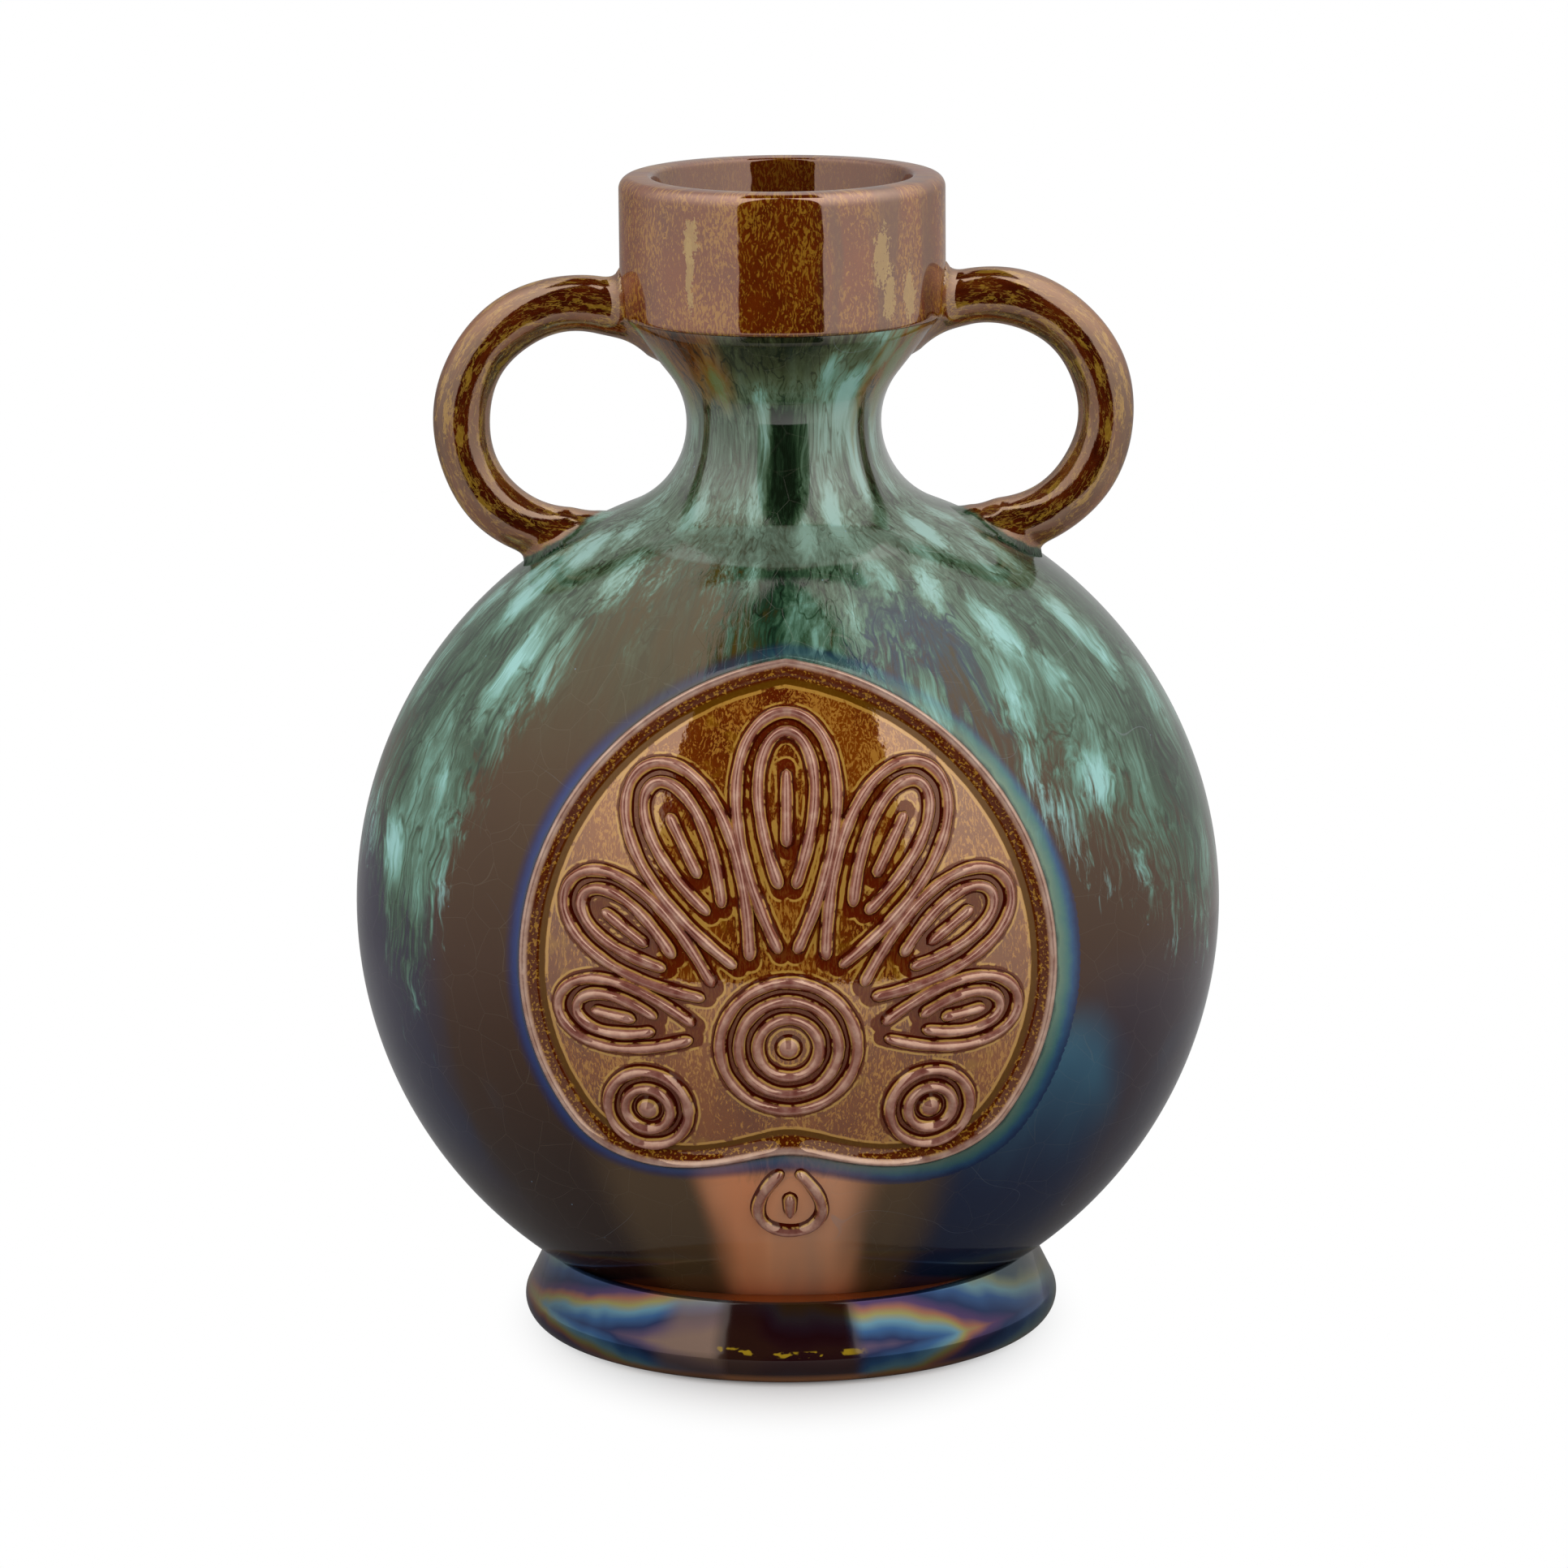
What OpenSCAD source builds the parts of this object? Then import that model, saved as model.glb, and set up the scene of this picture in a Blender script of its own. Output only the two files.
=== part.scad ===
// Pilgrim flask in glazed earthenware: a round, flattened body of two pressed halves
// on a ring foot, with a waisted neck, a straight collar and two ring handles.
// Each face carries a sunk medallion with a palmette of applied clay coils.
// Millimetres, +Z up, faces towards -Y and +Y, origin on the table under the foot's centre.

/* [Body] */
// Radius of the round outline, seen from the front
body_r = 74.5; // [70:0.5:79]
// Thickness of the body from face to face
body_depth = 119; // [112:1:124]
// Radius of the domed front and back faces
crown_r = 86; // [83:1:90]
// Thickness of the clay wall
wall = 5; // [4:0.25:6]
// Height of the flat underside above the table
base_h = 2; // [1:0.25:3]
// How much of the round underside is cut away to make it flat
base_cut = 2.6; // [1.5:0.1:3.2]

/* [Foot] */
// Largest radius of the foot
foot_r = 46.4; // [44:0.2:50]
// Height of the foot's upper edge
foot_h = 13.8; // [12:0.2:16]
// Radius of the rolled lower edge
foot_roll = 4.2; // [3:0.2:5]
// Lean of the foot's flank, in degrees
foot_lean = 22; // [16:1:26]
// Rounding of the foot's upper edge
foot_edge = 0.8; // [0.4:0.1:1.2]
// Fall of the ledge inside the upper edge
ledge_fall = 0.9; // [0.4:0.1:1.4]
// Radius of the hole through the foot
foot_bore = 30; // [28:0.5:31]
// Inner radius of the ring that touches the table
stand_r = 37; // [35:0.5:39]
// Depth of the hollow inside that ring
hollow_h = 2.2; // [1.5:0.1:3]

/* [Neck] */
// Radius of the neck at its waist
neck_r = 16.6; // [15.5:0.2:18]
// Radius of the passage through the neck
throat_r = 12; // [10.5:0.25:12.5]
// Height of the waist above the top of the round body
waist_rise = 9.4; // [8:0.2:11]
// Radius of the curve above the waist
flare_r = 14; // [11:0.5:16]
// Height from the waist to the underside of the collar
flare_rise = 18.4; // [17:0.2:20]

/* [Collar] */
// Outer radius of the collar
collar_r = 27.7; // [26.5:0.1:29]
// Radius of the mouth
mouth_r = 22; // [21:0.25:23]
// Height of the collar
collar_len = 23.8; // [20:0.2:28]
// Rounding of the rim's outer edge
lip_r = 2; // [1:0.1:2.4]
// Rounding of the rim's inner edge
mouth_edge = 0.6; // [0.4:0.1:1]
// How far the collar stands out over the neck
collar_step = 0.5; // [0.2:0.1:1]

/* [Handles] */
// Radius of the ring, to the middle of the clay
ring_r = 20; // [18.5:0.25:21]
// Radius of the round handle
grip_r = 4.8; // [4:0.1:5.4]
// Distance of the ring's centre from the flask's axis
handle_out = 34.9; // [33:0.1:37]
// Height of the ring's centre above the waist
handle_rise = 0.5; // [-0.5:0.1:1.5]

/* [Medallion] */
// Half width of the sunk field, along the dome
medal_r = 45.4; // [43:0.2:47]
// Distance from the middle of the face to the pointed top
apex_r = 53; // [51:0.5:55]
// Distance from the middle of the face to the notch below
notch_r = 30; // [28:0.5:33]
// Depth of the sunk field
recess = 1.6; // [1:0.1:2.2]
// Width of the raised border
border_w = 2.4; // [1.6:0.1:3]
// Height of the raised border
border_h = 1; // [0.6:0.1:1.6]
// Width of a coil
coil_w = 1.8; // [1.4:0.1:2]
// Height of a coil
coil_h = 1.7; // [1:0.1:2]
// Number of leaves in the palmette
leaf_count = 7; // [5:2:7]
// Angle between two leaves
leaf_angle = 27; // [25:1:28]
// Distance of the leaf tips from the middle of the face
tip_r = 40.5; // [38:0.5:41.5]
// How much further the top leaf reaches
tip_rise = 5; // [2:0.5:7]
// Distance of the palmette's root below the middle of the face
root_drop = 12; // [10:0.5:13]
// Radius of the innermost ring of the root
ring_first = 5.2; // [4.6:0.1:5.6]
// Distance from one ring to the next
ring_pitch = 3.2; // [2.8:0.1:3.4]
// Number of rings round the root
ring_count = 3; // [2:1:3]
// Radius of a round boss
boss_r = 2; // [1.4:0.1:2.2]
// Radius of a side rosette's outer ring
rosette_r = 7.2; // [6.8:0.1:7.4]
// Space between a side rosette and the edge of the sunk field
rosette_space = 1.5; // [1:0.1:1.8]
// Length of the pendant bud below the notch
pendant_len = 15; // [11:0.5:16]

/* [Hidden] */
$fn = 96;
// Glaze line between two pieces of clay
seat_gap = 0.1;
// Space under a coil, which covers the sag of its flat facets
coil_gap = 0.05;
// Extra reach of a cutting solid past the clay
past = 1;

// The body is a four-centred oval turned about the Y axis
half_depth = body_depth / 2;
crown_off = half_depth - crown_r;
edge_r = (2 * crown_r * half_depth - body_r * body_r - half_depth * half_depth)
    / (2 * (crown_r - body_r));
edge_off = body_r - edge_r;
body_h = base_h - base_cut + body_r;
body_top = body_h + body_r;
// Depth at which the dome runs into the rounded edge
meet_y = -crown_off * edge_r / norm([edge_off, crown_off]);

waist_h = body_top + waist_rise;
collar_h = waist_h + flare_rise;
total_h = collar_h + collar_len;
flare_top_r = collar_r - collar_step;
handle_h = waist_h + handle_rise;

// The flare is an arc that runs into a cone, tangent to it
flare_run = [flare_top_r - neck_r - flare_r, flare_rise];
flare_angle = 180 - atan2(flare_run[1], flare_run[0]) - acos(flare_r / norm(flare_run));
throat_top = collar_h - (mouth_r - throat_r) / tan(flare_angle);

// Steps round the neck, along each of its arcs, and across the seat under it
neck_steps = 40;
flare_steps = 3;
root_steps = 7;
root_limit = half_depth * 0.8;
seat_steps = 4;
root_edge = 0.3;

// The medallion is drawn flat, in distances along the dome, and wrapped onto it
field_r = crown_r - recess;
arch_r = (apex_r * apex_r + medal_r * medal_r) / (2 * medal_r);
lobe_start = 36;
outline_angle = 5;
palmette_root = [0, -root_drop];
root_outer = ring_first + ring_pitch * (ring_count - 1) + coil_w / 2;
root_space = 1.5;
leaf_start = root_outer + root_space;
leaf_space = 1.2;
leaf_peak = 0.77;
leg_space = 0.7;
leg_half = (coil_w + leg_space) / 2;
border_out = border_w / 2;
pendant_half = 5.6;
rosette_angle = 45;
boss_sink = 0.6;
coil_facets = 4;
coil_end = 0.5;

SIDES = ["front", "back"];
function leaf_name(side, i) = str(side, "_leaf_", i + 1);

// Points of an arc from angle a0 to angle a1
function arc(c, r, a0, a1, n = 8) =
    [for (i = [0 : n]) let (a = a0 + (a1 - a0) * i / n) c + r * [cos(a), sin(a)]];

// Radius of the body's outline in the plane at depth y, on the rounded edge or on the dome
function slice_r(y) =
    abs(y) < meet_y ? edge_off + sqrt(edge_r * edge_r - y * y)
                    : sqrt(crown_r * crown_r - pow(abs(y) - crown_off, 2));

// Height of the shoulder over a point of the plan
function shoulder_h(x, y) = body_h + sqrt(pow(slice_r(y), 2) - x * x);

// Slope of the shoulder at the radius r, in the direction f
function shoulder_fall(r, f) =
    let (x = r * cos(f), y = abs(r * sin(f)), s = slice_r(y),
         turn_in = y < meet_y ? y / sqrt(edge_r * edge_r - y * y) : (y - crown_off) / s)
    (r * pow(cos(f), 2) + s * turn_in * abs(sin(f))) / sqrt(s * s - x * x);

// How far an arc that leaves the waist upright and has the shoulder's slope at r stays above it
function root_miss(r, f) =
    let (fall = shoulder_fall(r, f))
    waist_h - shoulder_h(r * cos(f), r * sin(f)) - (r - neck_r) * (norm([1, fall]) + fall);

// Radius at which that arc touches the shoulder, found by halving the span
function root_reach(f, low = neck_r, high = root_limit, n = 20) =
    let (mid = (low + high) / 2)
    n == 0 ? mid
           : root_miss(mid, f) > 0 ? root_reach(f, mid, high, n - 1)
                                   : root_reach(f, low, mid, n - 1);

// Angle of the arc from the waist to the shoulder, and its radius
function root_arc_end(f) = atan2(1, shoulder_fall(root_reach(f), f));
function root_arc_r(f) = (root_reach(f) - neck_r) / (1 - cos(root_arc_end(f)));

// Quarter section of the body, shrunk by the wall thickness t: radius across, depth up
module oval_section(t) {
    intersection() {
        square([body_r + past, half_depth + past]);
        union() {
            translate([edge_off, 0]) circle(edge_r - t);
            intersection() {
                translate([0, crown_off]) circle(crown_r - t);
                polygon([[0, crown_off], [edge_off, 0], [edge_off, 0] * 2 - [0, crown_off],
                         [edge_off, 0] * 4 - [0, crown_off] * 3, [0, crown_r]]);
            }
        }
    }
}

// Solid oval of the whole body, grown by g, which the other pieces are cut back from
module body_room(g) {
    translate([0, 0, body_h])
        for (turn = [90, -90])
            rotate([turn, 0, 0]) rotate_extrude() oval_section(-g);
}

// Face of the flask as a local frame: X to the right, Y up, Z out of the face
module on_face(side) {
    translate([0, 0, body_h])
        rotate([0, 0, side == "front" ? 0 : 180])
            rotate([90, 0, 0]) children();
}

// Turns the pole of the dome to a point of the flat pattern
module at_pattern(p) {
    rotate(a = norm(p) / crown_r * 180 / PI, v = [-p[1], p[0], 0]) children();
}

// Point of the flat pattern on the dome, at distance r from the dome's centre
function wrap(p, r) =
    let (d = norm(p), a = d / crown_r * 180 / PI, k = d > 0 ? sin(a) / d : 0)
    [r * k * p[0], r * k * p[1], r * cos(a)];

function ease(t) = t * t * (3 - 2 * t);

// Distance of the field's edge from the middle of the face, at the angle f above the horizontal
function edge_at(f) =
    f >= 0
    ? let (c = (arch_r - medal_r) * cos(f))
      sqrt(c * c + arch_r * arch_r - pow(arch_r - medal_r, 2)) - c
    : medal_r - (medal_r - notch_r) * ease(max(0, (-f - lobe_start) / (90 - lobe_start)));

function field_outline(grow) =
    [for (f = [-90 : outline_angle : 269])
        (edge_at(f > 90 ? 180 - f : f) + grow) * [cos(f), sin(f)]];

// Half of the body, turned left and right of the middle plane, with the throat, the flat
// underside and the sunk field cut out
module body_half(side) {
    difference() {
        on_face(side) difference() {
            for (turn = [0, 180])
                rotate([0, 0, turn]) rotate_extrude(angle = 180, start = 90) difference() {
                    oval_section(0);
                    oval_section(wall);
                }
            difference() {
                linear_extrude(half_depth + past)
                    polygon([for (p = field_outline(0)) let (q = wrap(p, crown_r)) [q[0], q[1]]]);
                translate([0, 0, crown_off]) sphere(field_r);
            }
        }
        translate([0, 0, body_h]) cylinder(h = body_r + past, r = throat_r);
        translate([-body_r, -half_depth, base_h - body_r])
            cube([body_r * 2, body_depth, body_r]);
    }
}

// Foot: a thrown ring with a leaning flank, a rolled lower edge and a sunk ledge
module foot_ring() {
    roll = [foot_r - foot_roll, foot_roll];
    tangent = roll + foot_roll * [cos(foot_lean), sin(foot_lean)];
    top_r = tangent[0] - (foot_h - tangent[1]) * tan(foot_lean);
    rim = [top_r - foot_edge / cos(foot_lean) - foot_edge * tan(foot_lean), foot_h - foot_edge];
    color("#2b2e4a")
    difference() {
        rotate_extrude()
            polygon(concat(
                [[foot_bore, hollow_h], [stand_r - hollow_h, hollow_h], [stand_r, 0]],
                arc(roll, foot_roll, -90, foot_lean),
                arc(rim, foot_edge, foot_lean, 130, 4),
                [[rim[0] - foot_edge - ledge_fall, foot_h - ledge_fall],
                 [foot_bore, foot_h - ledge_fall]]
            ));
        body_room(seat_gap);
    }
}

// Section of the neck in the direction f, as a closed loop of radius and height
function neck_section(f) =
    let (ra = root_arc_r(f), end = root_arc_end(f), foot = root_reach(f),
         seat = function (r) shoulder_h(r * cos(f), r * sin(f)) + seat_gap)
    concat(
        [[throat_r, seat(throat_r)], [throat_r, throat_top], [mouth_r, collar_h]],
        [[flare_top_r, collar_h]],
        [for (i = [flare_steps : -1 : 0]) let (a = flare_angle * i / flare_steps)
            [neck_r + flare_r * (1 - cos(a)), waist_h + flare_r * sin(a)]],
        [for (i = [1 : root_steps]) let (a = end * i / root_steps, r = neck_r + ra * (1 - cos(a)))
            [r, max(waist_h - ra * sin(a), seat(r) + root_edge)]],
        [for (i = [0 : seat_steps - 1])
            let (r = foot + (throat_r - foot) * i / seat_steps) [r, seat(r)]]
    );

// Neck: lofted, because its root follows the saddle of the flattened shoulder
module neck() {
    sections = [for (j = [0 : neck_steps - 1]) neck_section(360 * j / neck_steps)];
    n = len(sections[0]);
    color("#2f6b5c")
    polyhedron(
        points = [for (j = [0 : neck_steps - 1]) let (f = 360 * j / neck_steps)
                     for (p = sections[j]) [p[0] * cos(f), p[0] * sin(f), p[1]]],
        faces = loft_faces(neck_steps, n, true)
    );
}

// Triangles between rows of n points each, which close round a row and, if wanted, end to end
function loft_faces(rows, n, closed) =
    [for (j = [0 : rows - (closed ? 1 : 2)]) for (i = [0 : n - 1])
        let (a = j * n, b = (j + 1) % rows * n, k = (i + 1) % n)
        each [[a + i, a + k, b + k], [a + i, b + k, b + i]]];

// Collar: a straight ring with a rounded rim, whose inside is the flask's mouth
module mouth_collar() {
    edge = lip_r / 3;
    color("#7a4316")
    translate([0, 0, collar_h])
        rotate_extrude()
            polygon(concat(
                [[mouth_r, 0]],
                arc([collar_r - edge, edge], edge, -90, 0, 4),
                arc([collar_r - lip_r, collar_len - lip_r], lip_r, 0, 90),
                arc([mouth_r + mouth_edge, collar_len - mouth_edge], mouth_edge, 90, 180, 4)
            ));
}

// Neck and collar without their hollow, grown by g
module neck_room(g) {
    ra = root_arc_r(0);
    rotate_extrude()
        polygon(concat(
            [[0, body_h], [root_reach(0) + g, body_h]],
            arc([neck_r + ra, waist_h], ra - g, 180 + root_arc_end(0), 180),
            arc([neck_r + flare_r, waist_h], flare_r - g, 180, 180 - flare_angle),
            [[flare_top_r + g, collar_h - g], [collar_r + g, collar_h - g],
             [collar_r + g, total_h + past], [0, total_h + past]]
        ));
}

// Handle: half a ring and two straight legs, seated on the collar and the shoulder
module handle(way) {
    leg = handle_out - neck_r;
    color("#6b3410")
    mirror([way > 0 ? 1 : 0, 0, 0])
        difference() {
            translate([-handle_out, 0, handle_h]) rotate([90, 0, 0]) {
                rotate([0, 0, 90]) rotate_extrude(angle = 180)
                    translate([ring_r, 0]) circle(grip_r);
                for (y = [-ring_r, ring_r])
                    translate([0, y, 0]) rotate([0, 90, 0]) cylinder(h = leg, r = grip_r);
            }
            body_room(seat_gap);
            neck_room(seat_gap);
        }
}

// Outline of a coil's section: half an oval with its flat side down
function coil_section(w, h) =
    [for (i = [0 : coil_facets]) let (a = 180 * i / coil_facets) [w / 2 * cos(a), h * sin(a)]];

// Coil of clay laid along a path of the flat pattern, on the dome of radius base
module coil(path, closed, base, w = coil_w, h = coil_h) {
    n = len(path);
    section = coil_section(w, h);
    m = len(section);
    translate([0, 0, crown_off])
        polyhedron(
            points = [for (i = [0 : n - 1])
                let (a = path[closed ? (i + n - 1) % n : max(i - 1, 0)],
                     b = path[closed ? (i + 1) % n : min(i + 1, n - 1)],
                     t = (b - a) / norm(b - a),
                     k = !closed && (i == 0 || i == n - 1) ? coil_end : 1)
                for (s = section)
                    wrap(path[i] + k * s[0] * [-t[1], t[0]], base + coil_gap + k * s[1])],
            faces = concat(
                loft_faces(n, m, closed),
                closed ? [] : [for (i = [1 : m - 2]) each [[0, i + 1, i],
                    [(n - 1) * m, (n - 1) * m + i, (n - 1) * m + i + 1]]]
            )
        );
}

// Round boss on the sunk field
module boss(p, r) {
    translate([0, 0, crown_off]) at_pattern(p)
        rotate_extrude()
            intersection() {
                translate([0, field_r + coil_gap - boss_sink]) circle(r);
                translate([0, field_r + coil_gap]) square(r);
            }
}

// Ring coil round a point of the sunk field
module ring_coil(p, r) {
    translate([0, 0, crown_off]) at_pattern(p)
        rotate_extrude()
            rotate(-r / crown_r * 180 / PI) translate([0, field_r + coil_gap])
                polygon(coil_section(coil_w, coil_h));
}

// Leaf loop that stands on the root, open at its foot: x across the leaf, y along it
function leaf_path(y0, y1, half, n) =
    let (t0 = sqrt(2 * leg_half * leaf_peak / half) * 180 / PI)
    [for (i = [0 : n]) let (t = t0 + (360 - 2 * t0) * i / n)
        [half / leaf_peak * sin(t) * sin(t / 2), y0 + (y1 - y0) * pow(sin(t / 2), 2)]];

function placed(path, a) =
    [for (p = path) palmette_root + [p[0] * cos(a) - p[1] * sin(a), p[0] * sin(a) + p[1] * cos(a)]];

// Reach of a leaf from the root, so that all tips follow the arch of the field
function leaf_reach(a) =
    let (tip = tip_r + tip_rise * pow(cos(a), 4), c = root_drop * cos(a))
    c + sqrt(c * c - root_drop * root_drop + tip * tip);

// One leaf at the angle a from upright: an outer loop, an inner loop and a midrib
module leaf(a) {
    reach = leaf_reach(a);
    length = reach - leaf_start;
    widest = leaf_start + length * 2 / 3;
    half = (widest * leaf_angle * PI / 180 - coil_w - leaf_space) / 2;
    color("#8d5a3c") {
        coil(placed(leaf_path(leaf_start, reach, half, 22), a), false, field_r);
        coil(placed(leaf_path(leaf_start + length * 0.24, reach - coil_w * 1.9, half * 0.56, 16), a),
             false, field_r);
        coil(placed([for (k = [0.46 : 0.08 : 0.78]) [0, leaf_start + length * k]], a),
             false, field_r);
    }
}

// Root of the palmette: a boss with rings round it
module palmette_root() {
    color("#8d5a3c") {
        boss(palmette_root, boss_r);
        for (i = [0 : ring_count - 1]) ring_coil(palmette_root, ring_first + ring_pitch * i);
    }
}

// Side rosette: a boss in two rings
module rosette(way) {
    out = edge_at(-rosette_angle) - rosette_space - coil_w / 2 - rosette_r;
    middle = out * [way * cos(rosette_angle), -sin(rosette_angle)];
    color("#8d5a3c") {
        boss(middle, boss_r);
        for (r = [rosette_r - ring_pitch, rosette_r]) ring_coil(middle, r);
    }
}

// Raised border along the field's edge
module border() {
    color("#8a6a55") coil(field_outline(border_out), true, crown_r, border_w, border_h);
}

// Bud that hangs from the notch of the border, outside the sunk field
module pendant() {
    start = notch_r + border_out + border_w - root_drop;
    color("#8d5a3c") {
        coil(placed(leaf_path(start, start + pendant_len, pendant_half, 18), 180), false, crown_r);
        coil(placed([for (k = [0.4 : 0.13 : 0.79]) [0, start + pendant_len * k]], 180), false, crown_r);
    }
}

foot_ring();
color("#4a4a3c") body_half("front");  // body_front_half
color("#3f4a44") body_half("back");  // body_back_half
neck();
mouth_collar();
handle(-1);  // handle_left
handle(1);  // handle_right
for (side = SIDES) {
    on_face(side) border();
    on_face(side) palmette_root();
    on_face(side) rosette(-1);
    on_face(side) rosette(1);
    on_face(side) pendant();
    for (i = [0 : leaf_count - 1])
        on_face(side) leaf(leaf_angle * ((leaf_count - 1) / 2 - i));
}
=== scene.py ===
"""Pilgrim flask in glazed earthenware: its finished clay and glaze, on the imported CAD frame.

Lengths are in millimetres until a mesh is filled, where MM turns them into metres. +Z is up
and the front face looks along -Y. The body's middle is BODY_MID above the table.
"""

import math

import bmesh
import bpy
import numpy as np
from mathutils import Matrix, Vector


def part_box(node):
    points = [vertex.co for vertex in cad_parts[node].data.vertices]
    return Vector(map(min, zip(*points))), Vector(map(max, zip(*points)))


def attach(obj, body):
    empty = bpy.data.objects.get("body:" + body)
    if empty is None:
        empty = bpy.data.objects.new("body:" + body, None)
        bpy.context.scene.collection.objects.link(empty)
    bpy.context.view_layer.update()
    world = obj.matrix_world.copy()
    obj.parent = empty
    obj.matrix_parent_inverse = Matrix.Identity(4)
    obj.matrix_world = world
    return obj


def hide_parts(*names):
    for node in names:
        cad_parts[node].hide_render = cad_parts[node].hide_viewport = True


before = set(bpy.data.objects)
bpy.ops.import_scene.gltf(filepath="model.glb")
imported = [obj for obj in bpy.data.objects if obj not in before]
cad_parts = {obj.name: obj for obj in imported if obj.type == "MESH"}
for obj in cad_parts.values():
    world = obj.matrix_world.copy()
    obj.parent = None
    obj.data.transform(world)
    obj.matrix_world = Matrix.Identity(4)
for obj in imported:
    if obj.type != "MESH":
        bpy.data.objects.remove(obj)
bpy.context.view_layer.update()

MM = 0.001


def box_mm(node):
    low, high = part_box(node)
    return np.array(low) / MM, np.array(high) / MM


# ---- Sizes taken from the frame ----
body_low, body_high = box_mm("body_front_half")
collar_low, collar_high = box_mm("mouth_collar")
foot_low, foot_high = box_mm("foot_ring")
handle_low, handle_high = box_mm("handle_left")

BODY_R = body_high[0]
BASE_H = body_low[2]
COLLAR_R = collar_high[0]
COLLAR_H = collar_low[2]
RIM_H = collar_high[2]
FOOT_R = foot_high[0]
FOOT_H = foot_high[2]

# ---- Sizes shared with the CAD source ----
HALF_DEPTH = 59.5
CROWN_R = 86.0
WALL = 5.0
BASE_CUT = 2.6
BODY_MID = BASE_H - BASE_CUT + BODY_R
NECK_R = 16.6
THROAT_R = 12.0
WAIST_H = BODY_MID + BODY_R + 9.4
FLARE_R = 14.0
FLARE_TOP_R = COLLAR_R - 0.5
MOUTH_R = 22.0
RING_R = 20.0
GRIP_R = 4.8
HANDLE_X = 34.9
HANDLE_H = WAIST_H + 0.5

CROWN_OFF = CROWN_R - HALF_DEPTH
EDGE_R = (2 * CROWN_R * HALF_DEPTH - BODY_R**2 - HALF_DEPTH**2) / (2 * (CROWN_R - BODY_R))
EDGE_OFF = BODY_R - EDGE_R
MEET_Y = CROWN_OFF * EDGE_R / math.hypot(EDGE_OFF, CROWN_OFF)

# The sunk medallion, in distances along the dome
MEDAL_R = 45.4
APEX_R = 53.0
NOTCH_R = 30.0
LOBE_START = 36.0
RECESS = 1.6
COIL_W = 1.8
COIL_H = 1.65
PITCH = 3.2
LEAF_COUNT = 7
LEAF_STEP = 27.0
TIP_R = 40.5
TIP_RISE = 5.0
ROOT_DROP = 12.0
RING_FIRST = 5.2
RING_COUNT = 3
ROSETTE_R = 7.2
ROSETTE_SPACE = 1.5
BOSS_R = 2.0
PENDANT_LEN = 15.0
PENDANT_HALF = 5.6


# ---- Curves and surfaces of the flask ----
def smooth(x, low, high):
    t = np.clip((x - low) / (high - low), 0, 1)
    return t * t * (3 - 2 * t)


def hump(x, middle, width):
    return np.exp(-(((x - middle) / width) ** 2))


def slice_r(y):
    """Radius of the body's round outline in the plane at depth y."""
    on_edge = EDGE_OFF + np.sqrt(np.maximum(EDGE_R**2 - y**2, 0))
    on_crown = np.sqrt(np.maximum(CROWN_R**2 - (np.abs(y) + CROWN_OFF) ** 2, 0))
    return np.where(np.abs(y) < MEET_Y, on_edge, on_crown)


def oval_reach(depth_part, shrink=0.0):
    """Distance from the body's middle to its skin, for a direction with that part along Y."""
    c = np.abs(depth_part)
    s = np.sqrt(np.maximum(1 - c**2, 0))
    crown, edge = CROWN_R - shrink, EDGE_R - shrink
    on_crown = np.sqrt(crown**2 - CROWN_OFF**2 * s**2) - CROWN_OFF * c
    on_edge = EDGE_OFF * s + np.sqrt(np.maximum(edge**2 - EDGE_OFF**2 * c**2, 0))
    lean = math.atan2(EDGE_OFF, CROWN_OFF)
    meet = math.atan2(crown * math.cos(lean) - CROWN_OFF, crown * math.sin(lean))
    return np.where(np.arctan2(c, s) > meet, on_crown, on_edge)


def shoulder_h(x, y):
    return BODY_MID + np.sqrt(np.maximum(slice_r(y) ** 2 - x**2, 0))


def body_point(azimuth, climb, shrink=0.0):
    """Point of the body's skin, by azimuth about Z and climb from the middle, in radians."""
    d = np.stack([np.cos(climb) * np.cos(azimuth), np.cos(climb) * np.sin(azimuth), np.sin(climb)])
    return d * oval_reach(d[1], shrink) + np.array([0, 0, BODY_MID])[:, None]


def edge_at(angle):
    """Distance of the medallion's edge from its middle, at an angle above the horizontal."""
    arch = (APEX_R**2 + MEDAL_R**2) / (2 * MEDAL_R)
    c = (arch - MEDAL_R) * np.abs(np.cos(angle))
    upper = np.sqrt(c**2 + arch**2 - (arch - MEDAL_R) ** 2) - c
    down = np.degrees(np.arcsin(np.clip(-np.sin(angle), -1, 1)))
    lower = MEDAL_R - (MEDAL_R - NOTCH_R) * smooth(down, LOBE_START, 90)
    return np.where(np.sin(angle) >= 0, upper, lower)


def wrap(u, v, height, side):
    """Point of the flat pattern laid on the dome, at a height above it."""
    d = np.hypot(u, v)
    a = d / CROWN_R
    r = CROWN_R + height
    k = np.where(d > 1e-9, r * np.sin(a) / np.maximum(d, 1e-9), r / CROWN_R)
    depth = r * np.cos(a) - CROWN_OFF
    return np.stack([k * u * -side, depth * side, BODY_MID + k * v])


def pattern_of(points, side):
    """Flat pattern coordinates of points near one face's dome."""
    x = points[0] * -side
    up = points[2] - BODY_MID
    depth = points[1] * side + CROWN_OFF
    flat = np.hypot(x, up)
    d = np.arctan2(flat, depth) * CROWN_R
    k = d / np.maximum(flat, 1e-9)
    return k * x, k * up


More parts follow.
